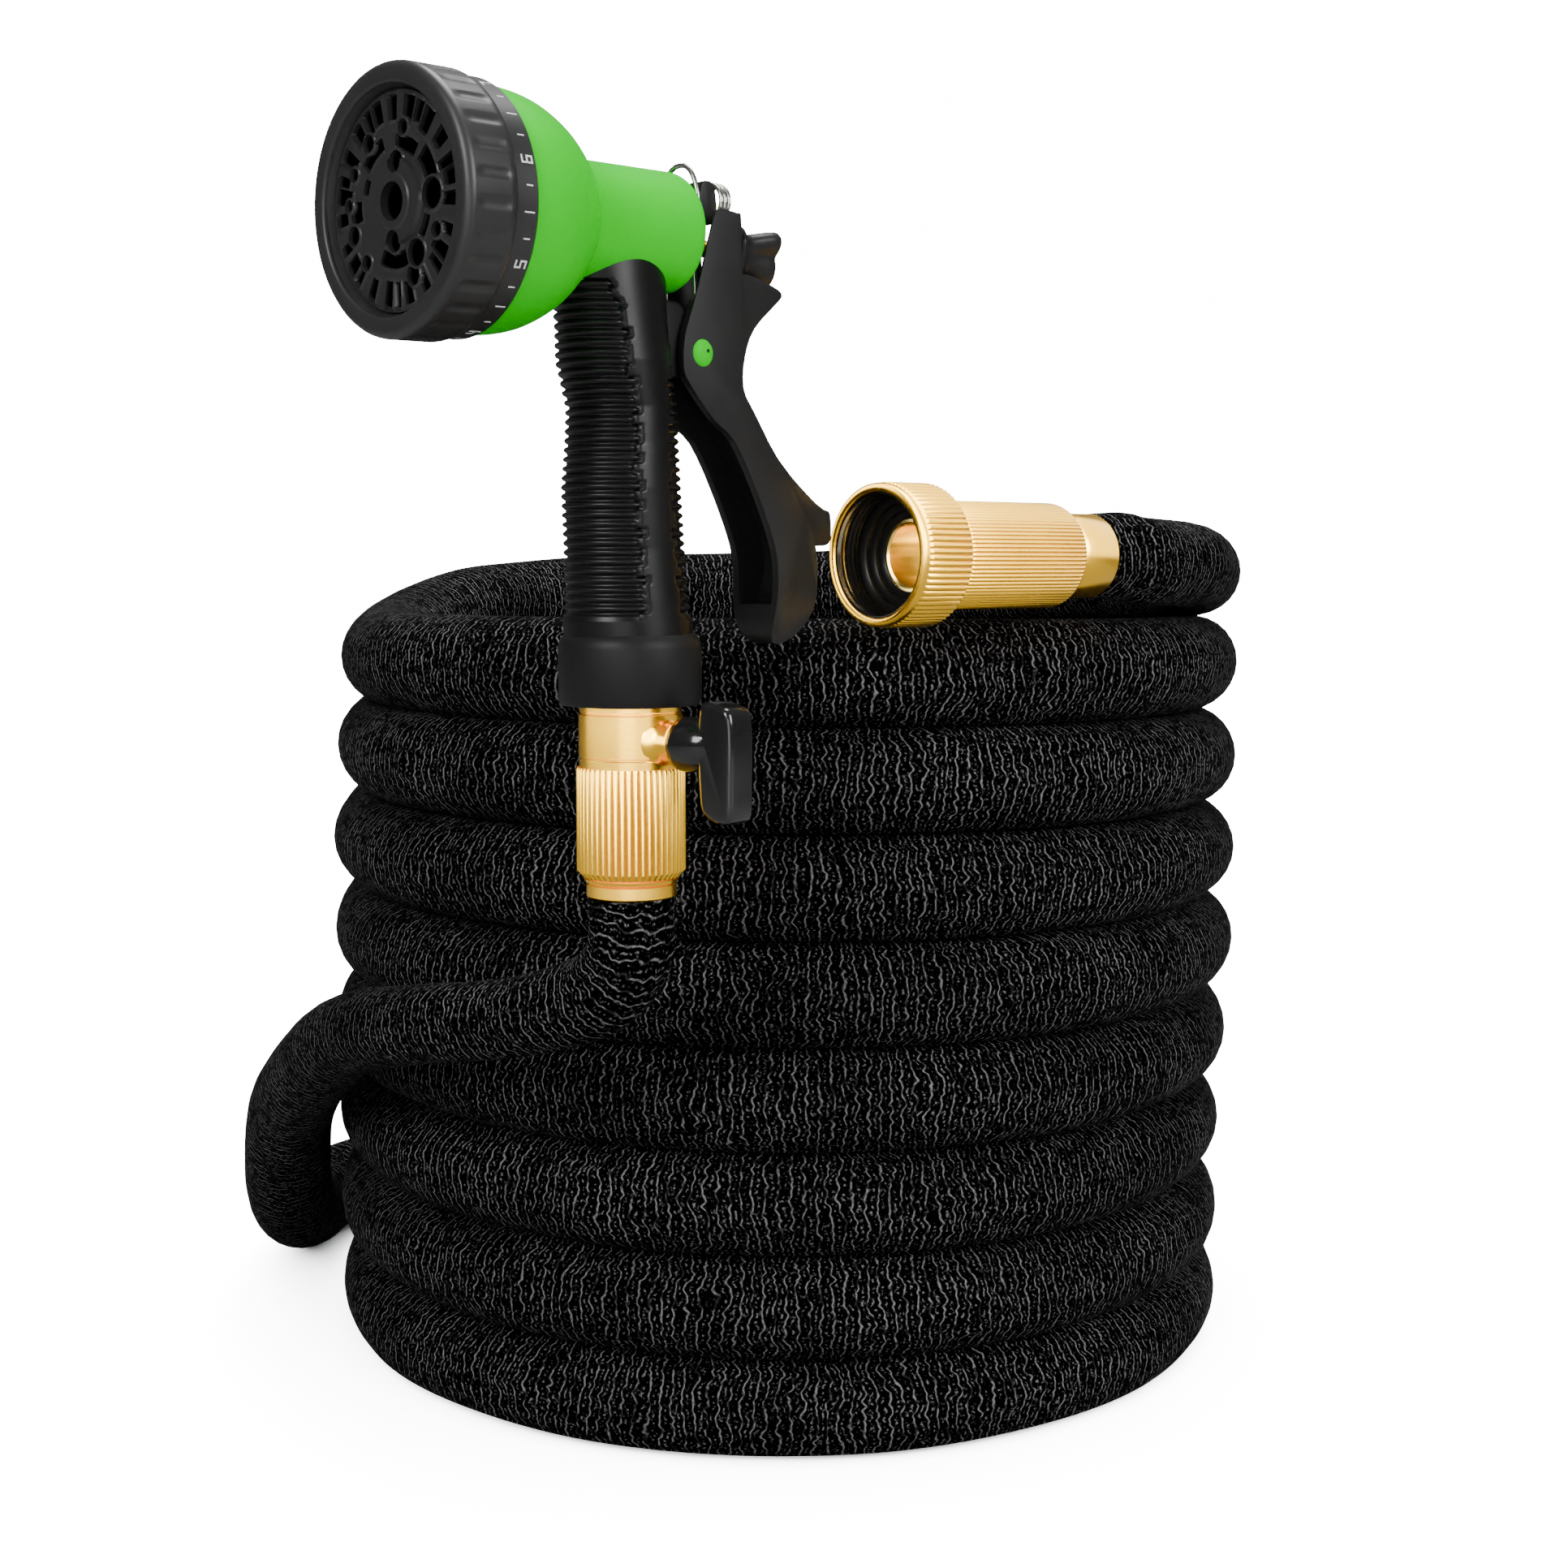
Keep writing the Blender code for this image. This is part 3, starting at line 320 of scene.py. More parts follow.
ROUTE_STEPS = 24
HOSE_SIDES = 26
RING_SPACING = 0.0042
FLOOR_GAP = 0.0002
RIPPLE = 0.01
NECK_RADIUS = 0.0107
NECK_GROWTH = 0.0008
LEAVING_OUT = 0.024
TOP_TURN_PRESS = 0.0016
# Where the hose leaves the lowest turn, on the floor: degrees round the coil and
# out from the turns' centreline.
FLOOR_ROUTE = ((92.0, 0.0262), (106.0, 0.0266), (120.0, 0.0286), (134.0, 0.033), (146.0, 0.0385),
               (156.5, 0.0424))
LEAD_ROUTE = (
    # degrees round the coil, out from the turns' centreline, share of the valve
    # collar's height, hose radius
    (165.5, 0.0393, 0.0895, 0.0125),
    (174.5, 0.0338, 0.165, 0.0123),
    (184.9, 0.0282, 0.315, 0.0119),
    (197.4, 0.0244, 0.48, 0.0113),
    (219.6, 0.0271, 0.665, 0.0102),
    (236.2, 0.0367, 0.743, 0.0091),
    (247.8, 0.0442, 0.786, 0.0087),
    (255.6, 0.0511, 0.838, 0.0091),
    (258.4, 0.0545, 0.887, 0.0091),
    (259.3, 0.0562, 0.937, 0.0091),
    (259.3, 0.0564, 0.998, 0.0091),
)
# How the hose steps down over one turn from the front: the share of the turn
# and the share of a pitch.
STEP_DOWN = ((0, 0), (0.25, 0.085), (0.4, 0.22), (0.5, 0.3), (0.6, 0.37), (0.67, 0.52),
             (0.72, 0.76), (0.76, 0.93), (0.8, 0.985), (1, 1))
# Where single turns lie nearer the coil's axis: the turns come round, and how
# far out they lie.
TURN_OUT = ((0.25, 0.0), (0.75, -0.0031), (1.25, 0.0), (1.75, -0.0016), (2.25, 0.0), (4.75, 0.0),
            (5.25, -0.0016), (5.75, 0.0), (6.25, -0.0031), (6.75, 0.0), (7.25, -0.0031), (7.75, 0.0),
            (8.25, -0.0031))


def swivel_matrix():
    """The swivel's frame: Z points out of the nut's mouth."""
    face = around_coil(SWIVEL_ANGLE, SWIVEL_OUT, SWIVEL_HEIGHT)
    turn = Matrix.Rotation(-math.pi / 2 - SWIVEL_AZIMUTH, 4, "Z")
    return Matrix.Translation(face) @ turn @ Matrix.Rotation(math.pi / 2, 4, "Y")


def between(table, value):
    """The value read off a table of pairs."""
    return float(np.interp(value, [row[0] for row in table], [row[1] for row in table]))


def turn_height(turns):
    """The centreline's height after so many turns from the front."""
    turns = min(turns, COIL_TURNS)
    whole = math.floor(turns)
    down = whole + between(STEP_DOWN, turns - whole)
    return HOSE_DIAMETER * (COIL_TURNS + 0.5 - down) - COIL_SINK


def hose_route():
    """Centreline points with the hose's radius, from the supply ferrule to the
    valve ferrule."""
    full = HOSE_DIAMETER / 2
    at = swivel_matrix()
    points = [Vector((*(at @ Vector((0, 0, -TO_FERRULE_END + 0.0003))), 0.01)),
              Vector((*(at @ Vector((0, 0, -TO_FERRULE_END - 0.01))), 0.0106))]
    start = points[-1].xyz - COIL_CENTRE
    first = math.atan2(start.y, start.x) + math.radians(4)
    start_out = math.hypot(start.x, start.y) - COIL_RADIUS
    last = math.tau * COIL_TURNS + math.radians(70)
    steps = ROUTE_STEPS * (COIL_TURNS + 1)
    for i in range(steps + 1):
        angle = first + (last - first) * i / steps
        turns = (angle + math.pi / 2) / math.tau
        settle = smooth((angle - first) / math.radians(60))
        height = turn_height(turns) + (1 - settle) * (SWIVEL_HEIGHT - turn_height(0))
        leaving = smooth((angle - math.tau * COIL_TURNS) / math.radians(80))
        out = (1 - settle) * start_out + settle * between(TURN_OUT, turns) * (1 - leaving)
        out += LEAVING_OUT * leaving
        radius = (NECK_RADIUS + NECK_GROWTH * settle
                  + (full - NECK_RADIUS - NECK_GROWTH) * smooth((angle - math.radians(-10)) / 1.7))
        height -= (full - radius + TOP_TURN_PRESS * (1 - smooth(turns - 0.3))) * settle
        points.append(Vector((*around_coil(angle, out, height), radius)))
    for angle, out in FLOOR_ROUTE:
        points.append(Vector((*around_coil(math.radians(angle), out, full), full)))
    for angle, out, share, radius in LEAD_ROUTE:
        place = around_coil(math.radians(angle), out, share * VALVE_COLLAR_BASE)
        points.append(Vector((*place, radius)))
    return points


def resampled(points, spacing):
    """Points evenly spaced along a polyline, and its whole length."""
    p = np.array([list(q) for q in points])
    run = np.concatenate([[0.0], np.cumsum(np.linalg.norm(np.diff(p[:, :3], axis=0), axis=1))])
    count = int(round(run[-1] / spacing))
    at = np.linspace(0.0, run[-1], count + 1)
    return np.stack([np.interp(at, run, p[:, k]) for k in range(p.shape[1])], axis=1), run[-1]


def tube_quads(rings, sides):
    """The faces between rings of verts that follow each other."""
    quads = []
    for i in range(rings - 1):
        for j in range(sides):
            k = (j + 1) % sides
            quads.append((i * sides + j, i * sides + k, (i + 1) * sides + k, (i + 1) * sides + j))
    return quads


def build_hose(surface):
    """One closed tube along the whole route, with its own place coordinates."""
    sides = HOSE_SIDES
    rows, length = resampled(catmull_rom(hose_route(), 6), RING_SPACING)
    centre, radii = rows[:, :3], rows[:, 3]
    tangent = np.gradient(centre, axis=0)
    tangent /= np.linalg.norm(tangent, axis=1)[:, None]
    outward = centre - np.array(COIL_CENTRE)
    outward[:, 2] = 0.0
    side = outward - (outward * tangent).sum(1)[:, None] * tangent
    side /= np.linalg.norm(side, axis=1)[:, None]
    up = np.cross(side, tangent)
    angles = np.arange(sides) * math.tau / sides
    along = np.linspace(0.0, length, len(rows))
    ripple = 1 + RIPPLE * np.sin(along * 95.0)[:, None] * np.sin(2 * angles + 3.0)[None, :]
    ring = radii[:, None] * ripple
    verts = (centre[:, None, :] + ring[..., None] * (np.cos(angles)[None, :, None] * side[:, None, :]
                                                     + np.sin(angles)[None, :, None] * up[:, None, :]))
    verts[..., 2] = np.maximum(verts[..., 2], FLOOR_GAP)
    place = np.stack([np.broadcast_to(along[:, None], ring.shape),
                      radii[:, None] * np.cos(angles)[None, :],
                      radii[:, None] * np.sin(angles)[None, :]], axis=2)
    rings = len(rows)
    faces = tube_quads(rings, sides)
    faces.append(tuple(range(sides)))
    faces.append(tuple((rings - 1) * sides + j for j in reversed(range(sides))))
    mesh = bpy.data.meshes.new("hose")
    mesh.from_pydata(verts.reshape(-1, 3).tolist(), [], faces)
    held = mesh.attributes.new("hose_place", "FLOAT_VECTOR", "POINT")
    held.data.foreach_set("vector", place.reshape(-1).astype(np.float32))
    mesh.shade_smooth()
    mesh.set_sharp_from_angle(angle=math.radians(60))
    mesh.materials.append(surface)
    return in_scene("hose", mesh), centre, length


# Meshes and pieces

def nozzle_matrix():
    """The upright nozzle's frame: x runs to the rear, z up."""
    place = Matrix.Translation(around_coil(NOZZLE_ANGLE, NOZZLE_OUT, 0.0))
    return place @ Matrix.Rotation(NOZZLE_AZIMUTH, 4, "Z")


def along_x(height, tilt=0.0):
    """In the nozzle's frame: Z points forwards along the head."""
    return Matrix.Translation((0.0, 0.0, height)) @ Matrix.Rotation(-math.pi / 2 - tilt, 4, "Y")


def mesh_of(name, verts, faces, surfaces, sharp=35.0):
    """A smooth-shaded mesh with outward normals."""
    bm = bmesh.new()
    made = [bm.verts.new(v) for v in verts]
    for face in faces:
        bm.faces.new([made[i] for i in face])
    bmesh.ops.recalc_face_normals(bm, faces=bm.faces[:])
    mesh = bpy.data.meshes.new(name)
    bm.to_mesh(mesh)
    bm.free()
    for surface in surfaces:
        mesh.materials.append(surface)
    mesh.shade_smooth()
    mesh.set_sharp_from_angle(angle=math.radians(sharp))
    return mesh


def place_piece(name, mesh, slot, body, matrix, hides=()):
    """Link a finished piece, hang it on its body and hide the CAD nodes it
    stands for."""
    made = in_scene(name, mesh)
    made.matrix_world = matrix
    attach(made, body)
    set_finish(made, slot)
    if hides:
        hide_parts(*hides)
    return made


def turned(profile, sides, outline=None):
    """Verts and faces of (radius, height) points turned about Z. The outline
    gives each ring its own radii round the axis."""
    angles = np.arange(sides) * math.tau / sides
    verts = []
    rings = []
    for radius, height in profile:
        if radius <= 0.0:
            rings.append([len(verts)])
            verts.append((0.0, 0.0, height))
            continue
        reach = outline(radius, height, angles) if outline else np.full(sides, radius)
        rings.append(list(range(len(verts), len(verts) + sides)))
        verts += list(zip((reach * np.cos(angles)).tolist(), (reach * np.sin(angles)).tolist(),
                          [height] * sides))
    loop = rings if profile[0][0] <= 0.0 else rings + [rings[0]]
    faces = []
    for lower, upper in zip(loop, loop[1:]):
        for k in range(sides):
            m = (k + 1) % sides
            corners = (lower[k % len(lower)], lower[m % len(lower)],
                       upper[m % len(upper)], upper[k % len(upper)])
            face = list(dict.fromkeys(corners))
            if len(face) > 2:
                faces.append(face)
    return verts, faces


def flutes(count, depth, low, high, beyond):
    """Rounded ridges along the axis between two heights, outside a radius."""
    def outline(radius, height, angles):
        if radius < beyond or not low <= height <= high:
            return np.full(len(angles), radius)
        across = (angles * count / math.tau) % 1.0 * 2 - 1
        return radius - depth * across ** 2
    return outline


def turned_piece(name, profile, surface, slot, body, matrix, sides=96, outline=None, hides=(),
                 sharp=35.0):
    """A placed piece, turned from its profile."""
    verts, faces = turned(profile, sides, outline)
    return place_piece(name, mesh_of(name, verts, faces, [surface], sharp), slot, body, matrix, hides)


def rounded_corner(radius, height, size, inner, steps):
    """Points round an upper corner of a turned profile, the outer or inner one."""
    across = radius + (size if inner else -size)
    start = math.pi / 2 * inner
    return [(across + size * math.cos(start + math.pi / 2 * k / steps),
             height - size + size * math.sin(start + math.pi / 2 * k / steps)) for k in range(steps + 1)]


def wire(name, points, radius, surface, slot, body, matrix, sides, hides):
    """A round wire through the points."""
    points = [Vector(p) for p in points]
    count = len(points)
    verts = []
    normal = None
    for i, point in enumerate(points):
        before = points[i - 1] if i else point
        after = points[i + 1] if i < count - 1 else point
        tangent = (after - before).normalized()
        if normal is None:
            normal = tangent.orthogonal().normalized()
        normal = (normal - tangent * normal.dot(tangent)).normalized()
        other = tangent.cross(normal)
        for k in range(sides):
            a = math.tau * k / sides
            verts.append(tuple(point + (normal * math.cos(a) + other * math.sin(a)) * radius))
    faces = tube_quads(count, sides)
    faces.append(tuple(range(sides)))
    faces.append(tuple((count - 1) * sides + k for k in range(sides)))
    return place_piece(name, mesh_of(name, verts, faces, [surface], 50.0), slot, body, matrix, hides)


def plate_object(name, outline, half_width):
    """A loose object: an (x, z) outline made thick to both sides of y = 0."""
    count = len(outline)
    verts = [(x, -half_width, z) for x, z in outline] + [(x, half_width, z) for x, z in outline]
    faces = [tuple(range(count)), tuple(range(2 * count - 1, count - 1, -1))]
    faces += [(i, (i + 1) % count, count + (i + 1) % count, count + i) for i in range(count)]
    return in_scene(name, mesh_of(name, verts, faces, []))


def turned_object(name, profile, sides):
    """A loose object, turned from its profile."""
    return in_scene(name, mesh_of(name, *turned(profile, sides), []))


def joined(target, tool, operation):
    """Apply an exact Boolean to a loose object and drop the tool."""
    step = target.modifiers.new("cut", "BOOLEAN")
    step.operation = operation
    step.solver = "EXACT"
    step.object = tool
    applied(target)
    bpy.data.objects.remove(tool, do_unlink=True)


def applied(target):
    """Keep the modified shape as the object's own mesh."""
    bpy.context.view_layer.update()
    shape = bpy.data.meshes.new_from_object(target.evaluated_get(bpy.context.evaluated_depsgraph_get()))
    target.modifiers.clear()
    target.data = shape


def softened(target, width, segments=3, limit=32.0):
    """Round the sharp edges of a loose object."""
    step = target.modifiers.new("round", "BEVEL")
    step.width = width
    step.segments = segments
    step.limit_method = "ANGLE"
    step.angle_limit = math.radians(limit)
    step.use_clamp_overlap = True
    applied(target)


def finished(target, name, surface, slot, body, matrix, hides=(), sharp=40.0):
    """Turn a loose object into a placed piece."""
    mesh = target.data
    bpy.data.objects.remove(target, do_unlink=True)
    mesh.materials.clear()
    mesh.materials.append(surface)
    mesh.shade_smooth()
    mesh.set_sharp_from_angle(angle=math.radians(sharp))
    return place_piece(name, mesh, slot, body, matrix, hides)


def smooth_outline(points, steps=4):
    """A closed (x, z) outline made round through its points."""
    count = len(points)
    made = []
    for i in range(count):
        four = [Vector(points[(i + k - 1) % count]) for k in range(4)]
        made += [tuple(spline_point(*four, step / steps)) for step in range(steps)]
    return made


# Brass fittings

NUT_LENGTH = 0.0152
NUT_FLUTES = 72
SLEEVE_FRONT = -0.0179
SLEEVE_BACK = -0.0562
SLEEVE_FLUTES = 78
VALVE_FLUTES = 50


def supply_side():
    """The swivel: nut with its liner, washer, insert, fluted sleeve, ferrule."""
    at = swivel_matrix()
    return [
        turned_piece("swivel_nut", [
            (0.0137, -0.001), *rounded_corner(0.0137, 0.0, 0.0008, 1, 3)[::-1],
            *rounded_corner(0.0157, 0.0, 0.0009, 0, 4)[::-1], (0.0157, -0.0016), (0.0153, -0.002),
            (0.0159, -0.0026), (0.0159, -0.0142), (0.0154, -0.0148), (0.0149, -NUT_LENGTH),
            (0.0095, -NUT_LENGTH), (0.0095, -0.0132), (0.0137, -0.0132)],
            BRASS, "brass", "nut", at, NUT_FLUTES * 6,
            flutes(NUT_FLUTES, 0.00042, -0.0149, -0.0022, 0.0146), ("supply_nut",)),
        turned_piece("swivel_mouth", mm(
            (13.65, -3.3), (13.1, -3.1), (12.8, -2.6), (12.8, -1.8), (13.1, -1.3), (13.3, -0.8),
            (13.65, -0.6)),
            LINER, "steel_wire", "nut", at),
        turned_piece("swivel_washer", mm(
            (13.1, -7), (12.2, -7.2), (11.4, -7.8), (11.2, -8.6), (10.4, -8.8), (9.8, -9.2), (9.6, -10),
            (8.8, -10.2), (8.2, -10.6), (8.2, -11.9), (13.1, -11.9)),
            RUBBER, "rubber", "hose", at, hides=("supply_washer",)),
        turned_piece("swivel_thread_wall", mm(
            (13.65, -3.4), (13.2, -3.6), (12.9, -4.2), (13.2, -4.8), (12.9, -5.4), (13.2, -6), (13, -6.6),
            (13.65, -6.9)),
            RUBBER, "rubber", "nut", at),
        turned_piece("swivel_insert", mm(
            (7, -10.8), (7.4, -10.4), (8, -10.4), (8, -12.1), (13.1, -12.1), (13.1, -12.9), (9.1, -12.9),
            (9.1, -15.7), (12.4, -15.7), (12.6, -16), (12.6, -17.3), (12.2, -17.6), (8.8, -17.6),
            (8.8, -24.1), (7, -24.1)),
            BRASS_INSIDE, "brass", "hose", at, hides=("supply_insert",)),
        turned_piece("swivel_bore_end", mm(
            (0, -23.2), (6.8, -23.2), (6.8, -23.8), (0, -23.8)),
            BRASS_INSIDE, "brass", "hose", at, 48),
        turned_piece("swivel_sleeve", [
            (0.0091, SLEEVE_FRONT), (0.0114, SLEEVE_FRONT), (0.012, SLEEVE_FRONT - 0.0005),
            (0.0122, SLEEVE_FRONT - 0.001), (0.0122, SLEEVE_BACK + 0.002), (0.0117, SLEEVE_BACK + 0.0008),
            (0.0108, SLEEVE_BACK), (0.0091, SLEEVE_BACK)],
            BRASS, "brass", "hose", at, SLEEVE_FLUTES * 6,
            flutes(SLEEVE_FLUTES, 0.0003, SLEEVE_BACK + 0.0006, SLEEVE_FRONT - 0.0004, 0.0112),
            ("supply_sleeve",)),
        turned_piece("swivel_ferrule", [
            (0.006, -0.0452), (0.0088, -0.0452), (0.0088, SLEEVE_BACK - 0.0003),
            (0.01, SLEEVE_BACK - 0.0003), (0.0103, -0.0572), (0.0096, -0.058), (0.0099, -0.0588),
            (0.0099, -0.0684), (0.0094, -0.0695), (0.006, -0.0695)],
            BRASS_SMOOTH, "brass", "hose", at, hides=("supply_ferrule",)),
    ]


STEM_AZIMUTH = math.radians(-40)
# Across the stem's axis and out along it.
PADDLE_OUTLINE = mm(
    (-8.8, 21.5), (-8.2, 26.2), (-6.6, 28.5), (-1, 29.1), (8, 29), (13.6, 28.8), (15, 27.4),
    (14.9, 24.5), (12.8, 21.2), (8, 20.4), (0, 20), (-6, 20.4))
PADDLE_HALF = 0.0037
LEVER_HUB = mm(
    (0, 12.6), (4.2, 12.6), (5, 13), (5.5, 13.8), (5.6, 15), (5.5, 17), (5.2, 19), (4.6, 21),
    (3.6, 22.5), (0, 22.5))
LEVER_OUT = 0.0013


def valve_side():
    """The shut-off valve: ferrule, fluted sleeve, body with its boss, stem and
    lever."""
    at = nozzle_matrix()
    base = VALVE_COLLAR_BASE
    turned_piece("valve_ferrule_ring", [
        (0.006, base), (0.009, base), (0.0093, base + 0.0003), (0.0093, base + 0.0026),
        (0.0089, base + 0.0029), (0.0096, base + 0.0032), (0.0098, base + 0.0038),
        (0.0095, base + 0.0041), (0.0088, base + 0.0041), (0.0088, base + 0.0156),
        (0.006, base + 0.0156)],
        BRASS_SMOOTH, "brass", "hose", at, hides=("valve_ferrule",))
    low = base + 0.0042
    top = low + 0.0225
    turned_piece("valve_fluted_sleeve", [
        (0.0091, low), (0.01, low), (0.0104, low + 0.0004), (0.0112, low + 0.0013),
        (0.0112, top - 0.0006), (0.0109, top), (0.0108, top), (0.0108, low + 0.0114),
        (0.0091, low + 0.0114)],
        BRASS, "brass", "hose", at, VALVE_FLUTES * 8,
        flutes(VALVE_FLUTES, 0.00052, low + 0.0003, top - 0.0003, 0.0103), ("valve_sleeve",))
    thread = top + 0.0127
    turned_piece("valve_main_body", [
        (0.0055, low + 0.0117), (0.0105, low + 0.0117), (0.0105, top + 0.0016), (0.0103, top + 0.0018),
        (0.0103, top + 0.0021), (0.0106, top + 0.0023), (0.0106, thread - 0.0019),
        (0.0103, thread - 0.0017), (0.0103, thread - 0.0014), (0.0105, thread - 0.0012),
        (0.0105, thread - 0.0003), (0.0132, thread + 0.0007), (0.0132, thread + 0.0085),
        (0.0055, thread + 0.0085)],
        BRASS_SMOOTH, "brass", "hose", at, hides=("valve_body",))
    outward = (Matrix.Rotation(STEM_AZIMUTH - NOZZLE_AZIMUTH, 4, "Z")
               @ Matrix.Rotation(math.pi / 2, 4, "Y"))
    stem_at = at @ Matrix.Translation((0.0, 0.0, STEM_HEIGHT)) @ outward
    turned_piece("valve_side_boss", mm(
        (0, 8), (6.2, 8), (6, 9), (5.2, 9.8), (4.6, 10.6), (4.3, 11.4), (4.3, 13.3), (4, 13.6),
        (2.6, 13.6), (0, 13.6)),
        BRASS_SMOOTH, "brass", "hose", stem_at, 64)
    turned_piece("valve_turning_stem", mm(
        (0, 9), (2.4, 9), (2.4, 20), (0, 20)),
        BRASS_SMOOTH, "brass", "lever", stem_at, 32, hides=("valve_stem",))
    paddle = plate_object("paddle", smooth_outline(PADDLE_OUTLINE), PADDLE_HALF)
    softened(paddle, 0.0015, 4)
    joined(paddle, turned_object("lever_hub", LEVER_HUB, 48), "UNION")
    lever_at = stem_at @ Matrix.Translation((0.0, 0.0, LEVER_OUT))
    finished(paddle, "valve_lever_handle", LEVER, "lever_plastic", "lever", lever_at,
             ("valve_lever",), 38.0)


# Nozzle handle

GRIP_SECTIONS = (
    # share of the grip's height, centre, half depth, half width
    (0.000, -0.0004, 0.0132, 0.013),
    (0.109, -0.0008, 0.0134, 0.0126),
    (0.24, -0.0013, 0.0129, 0.012),
    (0.397, -0.002, 0.0128, 0.0118),
    (0.515, -0.0018, 0.0121, 0.0114),
    (0.607, -0.0018, 0.0117, 0.0112),
    (0.725, -0.0038, 0.0123, 0.0112),
    (0.83, -0.0046, 0.012, 0.0106),
    (0.908, -0.005, 0.0124, 0.0102),
    (1.000, -0.0052, 0.0128, 0.0098),
)
RIB_PITCH = 0.00185
RIB_RISE = 0.0008
RIB_TRENCH = 0.00105
# The share of a rib's half pitch that its round top takes, and, in radians round
# the grip, how softly its ends run out.
RIB_WIDTH = 0.66
RIB_END = 0.045
# Shares of the grip's height: where ribs begin and stop, and where the rear's stop.
RIBS_FROM = 0.055
RIBS_TO = 0.925
REAR_RIBS_TO = 0.8


def grip_mesh():
    """The handle: front ribs with round ends, short ribs on the rear edge and a
    smooth panel between them."""
    base = COLLAR_TOP + 0.0003
    tall = GRIP_TOP - base
    sides = 132
    angles = np.arange(sides) * math.tau / sides
    from_front = np.abs(angles - math.pi)
    from_rear = math.pi - from_front
    shares = [row[0] for row in GRIP_SECTIONS]
    rows = 240
    points = np.zeros((rows + 1, sides, 3))
    for i in range(rows + 1):
        share = i / rows
        height = base + share * tall
        centre, depth, width = (float(np.interp(share, shares, [row[k] for row in GRIP_SECTIONS]))
                                for k in (1, 2, 3))
        cycle = (height - base) / RIB_PITCH
        rib = math.floor(cycle)
        across = (cycle - rib) * 2 - 1
        rise = max(0.0, 1 - (abs(across) / RIB_WIDTH) ** 2) ** 0.5
        ragged = 0.05 * math.sin(rib * 2.4) + 0.03 * math.sin(rib * 5.1 + 1.0)
        front_end = 1.19 + ragged - 3.4 * max(0.0, share - 0.85)
        front_end -= 0.1 * max(0.0, 0.2 - share)
        rear_end = 1.24 + ragged * 1.5 - 3.2 * max(0.0, share - 0.62)
        inside = 0.055 * abs(across)
        at_rear = share < REAR_RIBS_TO
        front = np.clip((front_end - inside - from_front) / RIB_END, 0.0, 1.0)
        rear = np.clip((rear_end - inside - from_rear) / RIB_END, 0.0, 1.0) * at_rear
        zone = 1.0 if RIBS_FROM < share < RIBS_TO else 0.0
        lift = zone * np.maximum(front, rear) * rise
        trench = zone * np.maximum(np.clip((front_end + 0.02 - from_front) / 0.05, 0, 1),
                                   np.clip((rear_end + 0.02 - from_rear) / 0.05, 0, 1) * at_rear)
        out = RIB_RISE * lift - RIB_TRENCH * trench
        points[i, :, 0] = centre + (depth + out) * np.cos(angles)
        points[i, :, 1] = (width + out) * np.sin(angles)
        points[i, :, 2] = height
    verts = points.reshape(-1, 3).tolist()
    faces = tube_quads(rows + 1, sides)
    faces.append(tuple(range(sides)))
    faces.append(tuple(rows * sides + k for k in range(sides)))
    return verts, faces


# x, z from the pivot.
LUG = mm(
    (-14.1, -6.6), (-1.2, -4.5), (2.8, -3), (4.2, 0), (2.8, 3.4), (-4, 10), (-14.1, 11))


def bell_profile(clearance=0.0):
    """The bell from the barrel forwards, as (radius, forward) points."""
    out_and_forward = mm(
        (0, 16), (0.3, 17.2), (0.8, 18), (2, 18.7), (4.4, 21.3), (7, 25), (9.3, 30), (10.4, 35))
    controls = [Vector((BARREL_RADIUS + out, forward)) for out, forward in out_and_forward]
    controls.append(Vector((BELL_RADIUS + 0.0003, BELL_FRONT)))
    return [(p.x + clearance, p.y) for p in catmull_rom(controls, 4)]


# How far the grip's top reaches into the barrel and bell that rest on it.
SEAT_OVERLAP = 0.0001


def handle():
    """Collar, grip, and the lug that carries the trigger."""
    at = nozzle_matrix()
    top = COLLAR_TOP
    base = top - 0.0129
    turned_piece("screwed_collar", [
        (0.0135, base), (0.014, base), (0.0146, base + 0.0012), (0.0146, top - 0.0013),
        (0.0145, top - 0.0004), (0.0141, top + 0.0006), (0.0134, top + 0.0014), (0.012, top + 0.0016),
        (0.012, top), (0.0055, top), (0.0055, top - 0.0015), (0.0135, top - 0.0015)],
        COLLAR, "grip_rubber", "hose", at, hides=("inlet_collar",))
    grip = in_scene("grip", mesh_of("grip", *grip_mesh(), []))
    saddle = turned_object("saddle", [
        (0.0, -0.03), (BARREL_RADIUS - SEAT_OVERLAP, -0.03), *bell_profile(-SEAT_OVERLAP),
        (0.0, BELL_FRONT)], 64)
    saddle.matrix_world = along_x(HEAD_HEIGHT, HEAD_TILT)
    joined(grip, saddle, "DIFFERENCE")
    finished(grip, "ribbed_grip", GRIP, "grip_rubber", "hose", at, ("nozzle_grip",), 70.0)
    lug = plate_object("lug", [(PIVOT.x + x, PIVOT.z + z) for x, z in LUG], 0.0047)
    softened(lug, 0.0008)
    finished(lug, "grip_lug", COLLAR, "grip_rubber", "hose", at)


